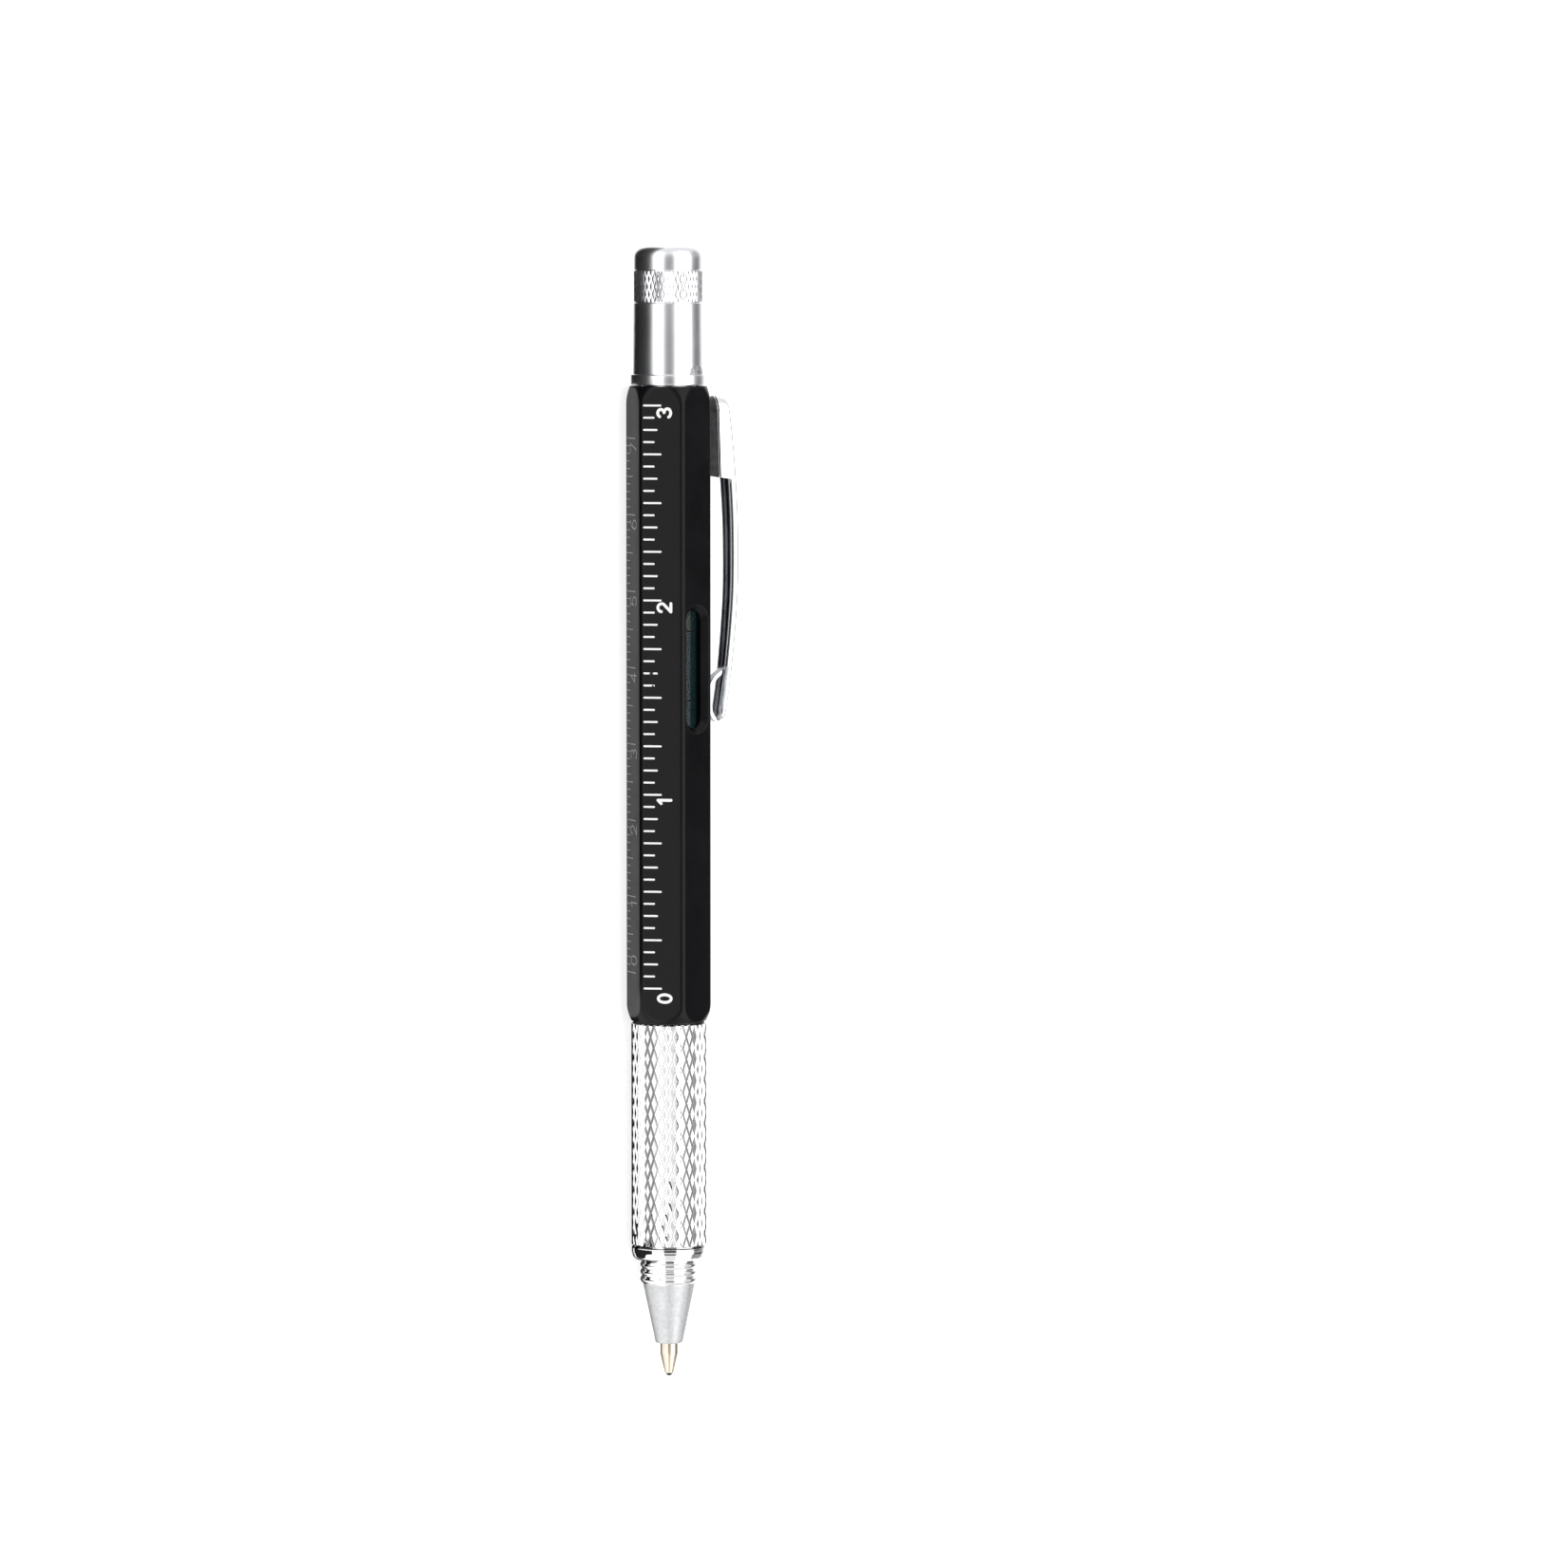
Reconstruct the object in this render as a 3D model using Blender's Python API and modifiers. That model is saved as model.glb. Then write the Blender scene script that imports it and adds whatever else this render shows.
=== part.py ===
# Multi tool pen: twist ballpoint, scales, spirit level, clip and a screwdriver bit under the cap.
# The pen lies on one flat of its barrel, with +X toward the cap and the level's window up.
# The origin is on that flat, straight below the pen's axis.

import math

import bmesh
import bpy
from mathutils import Matrix, Vector

mm = 0.001

# Clearances
seat_gap = 0.30 * mm            # between pieces that nest in each other
running_gap = 0.08 * mm         # between faces that turn or stand against each other
fit_gap = 0.12 * mm             # round a piece that is gripped
cutter_overrun = 1.0 * mm       # how far a cutter reaches past what it cuts
weld_distance = 0.001 * mm      # points nearer than this are one point
flush_step = 0.03 * mm          # keeps two faces that would lie in one plane apart

# Refill: a metal tube with a writing tip, held at its back end
refill_length = 67.0 * mm
refill_radius = 1.175 * mm
refill_wall = 0.30 * mm
tip_showing = 1.5 * mm          # cylinder of the tip that stands out of the nose
tip_cone_length = 2.5 * mm
tip_cone_end_radius = 0.56 * mm
tip_head_length = 4.0 * mm
tip_shank_length = 3.0 * mm
tip_ink_bore_radius = 0.20 * mm
ball_radius = 0.46 * mm
ball_showing = 0.40 * mm
ball_gap = 0.03 * mm
ink_length = 42.0 * mm

# Twist mechanism
retract_margin = 1.0 * mm       # depth of the ball inside the nose when retracted
twist_range = math.radians(180)
plunger_wall = 0.405 * mm
plunger_socket_depth = 6.5 * mm
plunger_web = 2.2 * mm          # solid length on each side of the drive pin
pin_radius = 0.60 * mm
pin_end_gap = 0.25 * mm
rotor_wall = 0.55 * mm
rotor_insert = 6.0 * mm         # how far the rotor sits inside the grip's journal
rotor_lip_thickness = 0.7 * mm
rotor_lip_overlap = 0.55 * mm
cam_wall = 0.70 * mm
cam_end_margin = 3.3 * mm
journal_length = 6.0 * mm
twist_to_level = 2.7 * mm       # from the mechanism to the level's carrier

# Barrel
barrel_wall = 1.10 * mm         # at the flats
barrel_corner_radius = 1.2 * mm
barrel_end_excess = 0.20 * mm   # radius of the turned ends beyond the flats
cap_end_turn_length = 3.2 * mm
grip_end_turn_length = 1.9 * mm
turning_allowance = 0.15 * mm
mouth_chamfer = 0.25 * mm
origin_from_grip_end = 27.5 * mm

# Spirit level
window_width = 4.5 * mm
window_length = 17.2 * mm
window_chamfer = 0.78 * mm      # width of the bevel round the window
window_bevel_depth_share = 0.7  # of the barrel's wall
vial_radius = 2.5 * mm
vial_wall = 0.6 * mm
vial_overhang = 1.8 * mm        # vial beyond the window, at each end
vial_floor = 1.2 * mm
vial_plug_length = 1.4 * mm
vial_plug_gap = 0.10 * mm
liquid_gap = 0.10 * mm
bubble_radius = 1.1 * mm
bubble_length = 3.2 * mm
cradle_wall = 1.2 * mm
level_to_socket = 9.1 * mm      # from the level's carrier to the bit socket

# Bit socket and screwdriver bit
socket_seat_length = 17.2 * mm  # pressed into the barrel
socket_neck_length = 6.8 * mm   # stands out of the barrel, under the cap
socket_neck_chamfer = 0.4 * mm
bit_across_flats = 4.0 * mm
bit_gap = 0.20 * mm
bit_pocket_depth = 20.0 * mm
bit_turned_length = 5.5 * mm    # each end is turned round before its tip
bit_turned_radius = 1.85 * mm
bit_point_radius = 0.45 * mm
bit_point_length = 2.6 * mm
flute_root_radius = 0.40 * mm
flute_side = 3.0 * mm
flute_length = 9.0 * mm
flute_lean = math.radians(9)
blade_thickness = 0.75 * mm
blade_lean = math.radians(7)
blade_cut_width = 6.0 * mm
blade_cut_length = 6.5 * mm

# Cap
cap_gap = 0.15 * mm             # between the barrel's end and the cap's flange
flange_thickness = 1.15 * mm
flange_drop = 0.03 * mm         # the widest round pieces stay this far above the flat
flange_bevel = 0.18 * mm
cap_shoulder_step = 0.27 * mm
cap_draft = 0.13 * mm           # the cylinder narrows by this much toward the crown
cap_shoulder_rise = 0.04 * mm   # the cylinder's end over the knurled band
cap_cylinder_length = 9.6 * mm
cap_band_length = 4.2 * mm
cap_band_groove = 0.10 * mm
cap_crown_length = 3.6 * mm
cap_corner_radius = 1.75 * mm
cap_crown_rise = 0.22 * mm
cap_roof = 3.0 * mm
cap_bit_room = 0.45 * mm
cap_thread_relief = 0.5 * mm

# Knurl
knurl_starts = 32
knurl_half_pitch = 1.47 * mm
knurl_depth = 0.17 * mm

# Grip
grip_length = 29.25 * mm
grip_bevel = 0.30 * mm
grip_core_wall = 0.70 * mm
washer_thickness = 0.35 * mm
washer_inset = 0.45 * mm

# Nose
collar_length = 1.6 * mm
collar_drop = 0.05 * mm
collar_bevel_length = 0.55 * mm
collar_bevel_depth = 0.50 * mm
ridge_count = 3
ridge_pitch = 0.97 * mm
ridge_run_in = 0.27 * mm
ridge_height = 0.25 * mm
ridge_crest_share = 0.3         # flat part of a ridge, of its pitch
ridge_root_radius = 3.53 * mm
cone_start_radius = 3.42 * mm
cone_end_radius = 1.78 * mm
cone_length = 7.98 * mm
nose_rounding = 0.22 * mm
nose_throat_length = 4.0 * mm
nose_throat_taper = 1.0 * mm
spigot_length = 8.0 * mm
spigot_wall = 1.0 * mm

# Clip
clip_length = 43.1 * mm
clip_from_barrel_end = 1.7 * mm
clip_rise = 4.30 * mm           # greatest height over the flat
clip_width = 4.10 * mm
clip_end_width = 3.25 * mm
clip_sheet = 0.45 * mm
clip_edge_radius = 0.50 * mm
clip_seat_gap = 0.25 * mm
clip_toe_length = 2.4 * mm
clip_toe_step = 0.35 * mm
clip_foot_length = 11.0 * mm
clip_arm_depth = 1.25 * mm
clip_step_blend = 0.4 * mm
clip_foot_blend = 1.7 * mm
clip_end_round = 1.3 * mm
clip_tongue_width = 2.1 * mm
clip_tab_length = 5.0 * mm
clip_tab_start = 3.8 * mm
clip_tab_depth = 1.15 * mm
clip_tab_gap = 0.15 * mm
# Height of the clip's outer face along its length, as shares of clip_length and clip_rise
clip_profile_shares = (
    (0.00, 0.62), (0.07, 0.74), (0.18, 0.86), (0.30, 0.95), (0.42, 1.00),
    (0.58, 1.00), (0.70, 0.93), (0.82, 0.82), (0.92, 0.69), (1.00, 0.55),
)
# The tongue's middle line, from the end of the clip round to the arm, as shares of
# the clip's length from its top and of its greatest height
clip_tongue_shares = (
    (0.993, 0.46), (0.990, 0.30), (0.972, 0.17), (0.945, 0.115), (0.915, 0.105),
    (0.885, 0.16), (0.862, 0.30), (0.845, 0.50), (0.832, 0.66),
)

# Facets
fine_steps = 40
plain_steps = 32
small_steps = 20
tiny_steps = 16

# Radii worked out from the inside to the outside
refill_bore_radius = refill_radius - refill_wall
plunger_bore_radius = refill_radius + fit_gap
plunger_radius = plunger_bore_radius + plunger_wall
rotor_bore_radius = plunger_radius + seat_gap
rotor_radius = rotor_bore_radius + rotor_wall
cam_bore_radius = rotor_radius + seat_gap
cam_radius = cam_bore_radius + cam_wall
barrel_bore_radius = cam_radius + seat_gap
barrel_half_flat = barrel_bore_radius + barrel_wall
barrel_end_radius = barrel_half_flat + barrel_end_excess
barrel_sharp_radius = barrel_half_flat / math.cos(math.radians(30))
barrel_corner_reach = (
    (barrel_half_flat - barrel_corner_radius) / math.cos(math.radians(30)) + barrel_corner_radius
)
axis_height = barrel_half_flat
journal_radius = barrel_bore_radius - seat_gap
core_bore_radius = rotor_radius + seat_gap
core_radius = core_bore_radius + grip_core_wall
sleeve_bore_radius = core_radius + seat_gap
grip_radius = barrel_half_flat - flange_drop
collar_radius = barrel_half_flat - collar_drop
spigot_radius = core_bore_radius - seat_gap
nose_bore_radius = spigot_radius - spigot_wall
nose_throat_radius = refill_radius + fit_gap
socket_radius = barrel_bore_radius - seat_gap
cap_bore_radius = socket_radius + seat_gap
flange_radius = barrel_half_flat - flange_drop
cap_base_radius = flange_radius - cap_shoulder_step
cap_top_radius = cap_base_radius - cap_draft
bit_corner_radius = bit_across_flats / 2 / math.cos(math.radians(30))
cap_chamber_radius = bit_corner_radius + cap_bit_room
vial_bore_radius = vial_radius - vial_wall
vial_lift = barrel_bore_radius - seat_gap - vial_radius

# Stations along the pen, from the nose to the cap
barrel_start = -origin_from_grip_end
washer_top = barrel_start - running_gap
washer_bottom = washer_top - washer_thickness
grip_top = washer_bottom - running_gap
grip_bottom = grip_top - grip_length
collar_top = grip_bottom - running_gap
collar_bottom = collar_top - collar_length
cone_top = collar_bottom - ridge_run_in - ridge_count * ridge_pitch
nose_end = cone_top - cone_length
spigot_top = collar_top + spigot_length

tip_shoulder = nose_end - tip_showing
tip_cone_end = tip_shoulder - tip_cone_length
ball_end = tip_cone_end - ball_showing
ball_centre = ball_end + ball_radius
tip_head_top = tip_shoulder + tip_head_length
tip_top = tip_head_top + tip_shank_length
refill_bottom = tip_head_top + running_gap
refill_top = ball_end + refill_length
ink_bottom = tip_top + seat_gap
retract_travel = (nose_end - ball_end) + retract_margin

journal_top = barrel_start + journal_length
plunger_bottom = refill_top - plunger_socket_depth
pin_station = refill_top + seat_gap + plunger_web
plunger_top = pin_station + plunger_web
cam_bottom = journal_top + seat_gap
cam_top = pin_station + retract_travel + cam_end_margin
rotor_bottom = journal_top - rotor_insert
rotor_lip_bottom = cam_top + running_gap
rotor_top = rotor_lip_bottom + rotor_lip_thickness

window_inner_length = window_length - 2 * window_chamfer
window_inner_width = window_width - 2 * window_chamfer
vial_length = window_inner_length + 2 * vial_overhang
cradle_bottom = rotor_top + twist_to_level
vial_bottom = cradle_bottom + cradle_wall + seat_gap
vial_top = vial_bottom + vial_length
vial_cavity_bottom = vial_bottom + vial_floor
plug_bottom = vial_top - vial_plug_length
cradle_top = vial_top + seat_gap + cradle_wall
window_centre = (vial_bottom + vial_top) / 2
liquid_bottom = vial_cavity_bottom + liquid_gap
liquid_top = plug_bottom - liquid_gap
bubble_top = liquid_top - liquid_gap
bubble_bottom = bubble_top - bubble_length
bubble_travel = bubble_bottom - (liquid_bottom + liquid_gap)
bubble_lift = vial_bore_radius - liquid_gap - bubble_radius

socket_bottom = cradle_top + level_to_socket
barrel_end = socket_bottom + socket_seat_length
socket_top = barrel_end + socket_neck_length
pocket_bottom = socket_top - bit_pocket_depth
bit_bottom = pocket_bottom + seat_gap

cap_bottom = barrel_end + cap_gap
flange_top = cap_bottom + flange_thickness
band_bottom = flange_top + cap_cylinder_length
band_top = band_bottom + cap_band_length
cap_top = band_top + cap_crown_length
chamber_top = cap_top - cap_roof
bit_top = chamber_top - seat_gap
cap_thread_top = socket_top + cap_thread_relief
clip_top = barrel_end - clip_from_barrel_end
clip_tab_middle = clip_tab_start + clip_tab_length / 2

# Turns about the pen's axis from the window's face, toward the clip
clip_turn = math.radians(60)

cap_lift = bit_top - cap_bottom + 4 * seat_gap


def clear_scene():
    for obj in list(bpy.data.objects):
        bpy.data.objects.remove(obj, do_unlink=True)


def make_collection(name):
    collection = bpy.data.collections.new(name)
    bpy.context.scene.collection.children.link(collection)
    return collection


clear_scene()
pen_parts = make_collection("multi_tool_pen")
pen_cutters = make_collection("pen_cutters")


def make_material(name, colour, roughness, metallic, alpha=1.0):
    material = bpy.data.materials.new(name)
    material.use_nodes = True
    shader = material.node_tree.nodes["Principled BSDF"]
    shader.inputs["Base Color"].default_value = (*colour, 1.0)
    shader.inputs["Roughness"].default_value = roughness
    shader.inputs["Metallic"].default_value = metallic
    shader.inputs["Alpha"].default_value = alpha
    return material


def black_paint(name):
    return make_material(name, (0.018, 0.017, 0.019), 0.45, 0.0)


def chrome(name):
    return make_material(name, (0.80, 0.80, 0.81), 0.12, 1.0)


def satin_chrome(name):
    return make_material(name, (0.74, 0.74, 0.75), 0.28, 1.0)


def turned_brass(name):
    return make_material(name, (0.72, 0.55, 0.27), 0.32, 1.0)


def nickel_silver(name):
    return make_material(name, (0.62, 0.57, 0.50), 0.25, 1.0)


def tool_steel(name):
    return make_material(name, (0.42, 0.42, 0.43), 0.35, 1.0)


def black_plastic(name):
    return make_material(name, (0.03, 0.03, 0.032), 0.5, 0.0)


def white_plastic(name):
    return make_material(name, (0.75, 0.75, 0.72), 0.45, 0.0)


def clear_plastic(name):
    return make_material(name, (0.85, 0.92, 0.90), 0.05, 0.0, alpha=0.35)


def green_spirit(name):
    return make_material(name, (0.01, 0.05, 0.045), 0.05, 0.0, alpha=0.8)


def bubble_air(name):
    return make_material(name, (0.30, 0.42, 0.28), 0.05, 0.0, alpha=0.6)


def blue_ink(name):
    return make_material(name, (0.01, 0.02, 0.12), 0.3, 0.0)


def make_axis(name, parent, location=(0, 0, 0), rotation=(0, 0, 0)):
    axis = bpy.data.objects.new(name, None)
    pen_cutters.objects.link(axis)
    axis.empty_display_size = barrel_half_flat
    axis.parent = parent
    axis.location = location
    axis.rotation_euler = rotation
    return axis


def make_object(name, mesh, parent, material=None):
    obj = bpy.data.objects.new(name, mesh)
    if material is None:
        pen_cutters.objects.link(obj)
        obj.hide_render = True
        obj.display_type = "WIRE"
    else:
        pen_parts.objects.link(obj)
        mesh.materials.append(material(name + "_finish"))
    obj.parent = parent
    return obj


def mesh_from_bmesh(name, shape):
    mesh = bpy.data.meshes.new(name)
    shape.to_mesh(mesh)
    shape.free()
    return mesh


def turned(name, profile, steps, parent, material=None, closed=True):
    """A profile of (radius, height), down the outer side, swept round the axis."""
    shape = bmesh.new()
    points = [shape.verts.new((radius, 0, height)) for radius, height in profile]
    for first, second in zip(points, points[1:]):
        shape.edges.new((first, second))
    if closed:
        shape.edges.new((points[-1], points[0]))
    obj = make_object(name, mesh_from_bmesh(name, shape), parent, material)
    screw = obj.modifiers.new("turning", "SCREW")
    screw.axis = "Z"
    screw.angle = math.tau
    screw.steps = steps
    screw.render_steps = steps
    screw.use_merge_vertices = True
    screw.merge_threshold = weld_distance
    screw.use_smooth_shade = True
    return obj


def tube_profile(outer, inner, top, bottom):
    return [(outer, top), (outer, bottom), (inner, bottom), (inner, top)]


def rod_profile(radius, top, bottom):
    return [(0, top), (radius, top), (radius, bottom), (0, bottom)]


def box(name, size, parent, material=None):
    shape = bmesh.new()
    bmesh.ops.create_cube(shape, size=1)
    bmesh.ops.scale(shape, vec=size, verts=shape.verts)
    return make_object(name, mesh_from_bmesh(name, shape), parent, material)


def hexagon(name, corner_radius, top, bottom, parent, material=None):
    """A hexagonal prism along the axis, with a flat facing local +X."""
    shape = bmesh.new()
    bmesh.ops.create_cone(
        shape, cap_ends=True, segments=6,
        radius1=corner_radius, radius2=corner_radius, depth=top - bottom,
    )
    obj = make_object(name, mesh_from_bmesh(name, shape), parent, material)
    obj.location = (0, 0, (top + bottom) / 2)
    return obj


def boolean(target, tool, operation="DIFFERENCE"):
    step = target.modifiers.new(operation.lower() + "_" + tool.name, "BOOLEAN")
    step.operation = operation
    step.solver = "EXACT"
    step.object = tool


def solid_from_curve(curve_object):
    """Turns a curve object into a closed mesh object under the same name."""
    name = curve_object.name
    bpy.context.view_layer.update()
    evaluated = curve_object.evaluated_get(bpy.context.evaluated_depsgraph_get())
    mesh = bpy.data.meshes.new_from_object(evaluated)
    shape = bmesh.new()
    shape.from_mesh(mesh)
    bmesh.ops.remove_doubles(shape, verts=shape.verts, dist=weld_distance)
    bmesh.ops.recalc_face_normals(shape, faces=shape.faces)
    shape.to_mesh(mesh)
    shape.free()
    matrix = curve_object.matrix_world.copy()
    bpy.data.objects.remove(curve_object, do_unlink=True)
    obj = make_object(name, mesh, None)
    obj.matrix_world = matrix
    return obj


def smooth_line(shares, count):
    """Points on a smooth curve through a table of pairs of shares."""
    points = [Vector(pair) for pair in shares]
    points = [2 * points[0] - points[1]] + points + [2 * points[-1] - points[-2]]
    line = []
    for index in range(1, len(points) - 2):
        before, start, end, after = points[index - 1:index + 3]
        for step in range(count):
            t = step / count
            line.append(
                (2 * start + (end - before) * t
                 + (2 * before - 5 * start + 4 * end - after) * t ** 2
                 + (3 * start - before - 3 * end + after) * t ** 3) / 2
            )
    line.append(points[-2])
    return line


def value_on_line(line, place):
    """Reads a smooth line's second value at a place along its first."""
    for first, second in zip(line, line[1:]):
        if place <= second.x:
            share = (place - first.x) / (second.x - first.x)
            return first.y + (second.y - first.y) * share
    return line[-1].y


def smooth_step(value):
    value = min(max(value, 0), 1)
    return value * value * (3 - 2 * value)


def ring_solid(name, rings, parent, material):
    """A closed round body from rings (height, even radius, odd radius), outer side first.

    Where a ring's two radii differ, its points stand in and out by turns. The cells between
    such rings are split from root to root, so that each crest is a small pyramid.
    """
    columns = 2 * knurl_starts
    shape = bmesh.new()
    loops = []
    for height, even, odd in rings:
        if even == 0:
            loops.append([shape.verts.new((0, 0, height))] * columns)
            continue
        loop = []
        for column in range(columns):
            angle = math.tau * column / columns
            radius = odd if column % 2 else even
            loop.append(shape.verts.new((radius * math.cos(angle), radius * math.sin(angle), height)))
        loops.append(loop)
    pairs = list(zip(rings, rings[1:] + rings[:1], loops, loops[1:] + loops[:1]))
    if rings[0][1] == 0 and rings[-1][1] == 0:
        pairs.pop()
    for ring, next_ring, loop, next_loop in pairs:
        for column in range(columns):
            after = (column + 1) % columns
            corners = [loop[column], next_loop[column], next_loop[after], loop[after]]
            if ring[1] == 0:
                shape.faces.new(corners[:3])
            elif next_ring[1] == 0:
                shape.faces.new((corners[0], corners[1], corners[3]))
            elif ring[1] == ring[2] and next_ring[1] == next_ring[2]:
                shape.faces.new(corners)
            else:
                first_is_root = (ring[1] < ring[2]) != bool(column % 2)
                if ring[1] == ring[2]:
                    first_is_root = (next_ring[1] > next_ring[2]) != bool(column % 2)
                if first_is_root:
                    shape.faces.new(corners[:3])
                    shape.faces.new((corners[0], corners[2], corners[3]))
                else:
                    shape.faces.new((corners[0], corners[1], corners[3]))
                    shape.faces.new(corners[1:])
    return make_object(name, mesh_from_bmesh(name, shape), parent, material)


def knurl_rings(top, bottom, radius):
    """Rings of crests and roots by turns, between two plain edges."""
    rows = max(2, round((top - bottom) / knurl_half_pitch))
    rings = []
    for row in range(rows + 1):
        height = top + (bottom - top) * row / rows
        crest, root = radius, radius - knurl_depth
        rings.append((height, crest, root) if row % 2 else (height, root, crest))
    return rings


def arc(centre_radius, centre_height, radius, start, end, count):
    """Points on an arc in the profile's plane, angles in degrees from +X toward +Z."""
    points = []
    for step in range(count + 1):
        angle = math.radians(start + (end - start) * step / count)
        points.append((centre_radius + radius * math.cos(angle), centre_height + radius * math.sin(angle)))
    return points


# Axes of the pen and of its moving pieces. Local +Z runs toward the cap, +X out of the window.
pen_axis = make_axis(
    "pen_axis", None, (0, 0, axis_height), (math.radians(180), math.radians(-90), 0)
)
grip_axis = make_axis("grip_axis", pen_axis)
refill_axis = make_axis("refill_axis", grip_axis)
cap_axis = make_axis("cap_axis", pen_axis)
level_axis = make_axis("level_axis", pen_axis, (vial_lift, 0, 0))
bubble_axis = make_axis("bubble_axis", level_axis, (bubble_lift, 0, 0))
clip_hinge = make_axis(
    "clip_hinge", pen_axis,
    (barrel_half_flat * math.cos(clip_turn), barrel_half_flat * math.sin(clip_turn), clip_top),
    (0, 0, clip_turn),
)


def end_turning(end, direction, length):
    """Profile of a turned barrel end, from its face to where the corners stay whole."""
    reach = barrel_corner_reach + turning_allowance
    points = []
    for step in range(7):
        angle = math.radians(90 * step / 6)
        radius = barrel_end_radius + (reach - barrel_end_radius) * math.sin(angle)
        points.append((radius, end + direction * length * (1 - math.cos(angle))))
    return points


def stadium_ring(shape, width, length, height):
    """A round-ended outline across local X, long along Z."""
    radius = width / 2
    straight = length / 2 - radius
    ring = []
    for side in (1, -1):
        for step in range(9):
            angle = math.radians(180 * step / 8)
            ring.append(shape.verts.new(
                (height, side * radius * math.cos(angle), side * (straight + radius * math.sin(angle)))
            ))
    return ring


def window_cutter():
    bevel_depth = window_bevel_depth_share * barrel_wall
    over = cutter_overrun / bevel_depth
    shape = bmesh.new()
    rings = [
        stadium_ring(
            shape, window_width + 2 * window_chamfer * over,
            window_length + 2 * window_chamfer * over, barrel_half_flat + cutter_overrun,
        ),
        stadium_ring(
            shape, window_inner_width, window_inner_length, barrel_half_flat - bevel_depth,
        ),
        stadium_ring(
            shape, window_inner_width, window_inner_length, barrel_bore_radius - cutter_overrun,
        ),
    ]
    for ring, next_ring in zip(rings, rings[1:]):
        for index, vert in enumerate(ring):
            after = (index + 1) % len(ring)
            shape.faces.new((vert, ring[after], next_ring[after], next_ring[index]))
    shape.faces.new(rings[0][::-1])
    shape.faces.new(rings[-1])
    bmesh.ops.recalc_face_normals(shape, faces=shape.faces)
    cutter = make_object("window_cutter", mesh_from_bmesh("window_cutter", shape), pen_axis)
    cutter.location = (0, 0, window_centre)
    return cutter


def make_barrel():
    barrel = hexagon("barrel", barrel_sharp_radius, barrel_end, barrel_start, pen_axis, black_paint)
    mesh = barrel.data
    weights = mesh.attributes.new("bevel_weight_edge", "FLOAT", "EDGE")
    for edge in mesh.edges:
        first, second = (mesh.vertices[index].co for index in edge.vertices)
        weights.data[edge.index].value = 1.0 if abs(first.z - second.z) > barrel_wall else 0.0
    corners = barrel.modifiers.new("corners", "BEVEL")
    corners.limit_method = "WEIGHT"
    corners.width = barrel_corner_radius * math.tan(math.radians(30))
    corners.segments = 4
    blank = turned(
        "barrel_turning",
        [(0, barrel_end)]
        + end_turning(barrel_end, -1, cap_end_turn_length)
        + end_turning(barrel_start, 1, grip_end_turn_length)[::-1]
        + [(0, barrel_start)],
        fine_steps + tiny_steps // 2, pen_axis, closed=False,
    )
    boolean(barrel, blank, "INTERSECT")
    over = mouth_chamfer + cutter_overrun
    bore = turned(
        "barrel_bore",
        [
            (0, barrel_end + cutter_overrun), (barrel_bore_radius + over, barrel_end + cutter_overrun),
            (barrel_bore_radius, barrel_end - mouth_chamfer),
            (barrel_bore_radius, barrel_start + mouth_chamfer),
            (barrel_bore_radius + over, barrel_start - cutter_overrun),
            (0, barrel_start - cutter_overrun),
        ],
        plain_steps, pen_axis, closed=False,
    )
    boolean(barrel, bore)
    boolean(barrel, window_cutter())
    for side in (1, -1):
        slot = box(
            "tab_slot_left" if side > 0 else "tab_slot_right",
            (
                2 * (barrel_wall + cutter_overrun),
                clip_sheet + 2 * clip_tab_gap,
                clip_tab_length + 2 * seat_gap,
            ),
            clip_hinge,
        )
        slot.location = (
            0, side * (clip_half_width(clip_tab_middle) - clip_sheet / 2), -clip_tab_middle
        )
        boolean(barrel, slot)
    return barrel


clip_line = smooth_line(clip_profile_shares, 4)


def clip_half_width(place):
    """Half the clip's width at a distance from its top, without its rounded ends."""
    return (clip_width + (clip_end_width - clip_width) * place / clip_length) / 2


def clip_height(place):
    """Height of the clip's outer face over the flat."""
    return clip_rise * value_on_line(clip_line, place / clip_length)


def clip_wall_foot(place):
    """Height of the lower edge of the clip's side walls over the flat."""
    toe = clip_toe_step * (1 - smooth_step((place - clip_toe_length) / clip_step_blend + 0.5))
    foot = clip_seat_gap + toe
    arm = clip_height(place) - clip_arm_depth
    share = smooth_step((place - clip_foot_length) / clip_foot_blend)
    return foot + (arm - foot) * share


def clip_places():
    """Distances from the clip's top at which its sections stand."""
    head = clip_width / 2
    places = [head * (1 - math.cos(math.radians(18 * step))) for step in range(6)]
    places += [clip_toe_length - clip_step_blend / 2, clip_toe_length + clip_step_blend / 2]
    places += [clip_foot_length + clip_foot_blend * step / 4 for step in range(5)]
    middle_start = clip_foot_length + clip_foot_blend
    middle_end = clip_length - clip_end_round
    places += [clip_toe_length + (clip_foot_length - clip_toe_length) * step / 4 for step in (1, 2, 3)]
    places += [middle_start + (middle_end - middle_start) * step / 12 for step in range(1, 12)]
    places += [
        clip_length - clip_end_round * (1 - math.cos(math.radians(90 - 18 * step)))
        for step in range(6)
    ]
    return sorted(places)


def clip_outline(inset):
    """Points (place, half width) of the clip's plan, drawn in by an inset."""
    head = clip_width / 2
    outline = []
    for place in clip_places():
        half = clip_half_width(place)
        if place < head:
            across = math.sqrt(max(0, 1 - ((head - place) / head) ** 2))
            moved = head - (head - place) * (head - inset) / head
            outline.append((moved, across * (half - inset)))
        elif place > clip_length - clip_end_round:
            past = (place - clip_length + clip_end_round) / clip_end_round
            corner = clip_end_round * (1 - math.sqrt(max(0, 1 - past ** 2)))
            moved = place - inset * past
            outline.append((moved, max(0, half - corner - inset)))
        else:
            outline.append((place, half - inset))
    return outline


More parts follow.
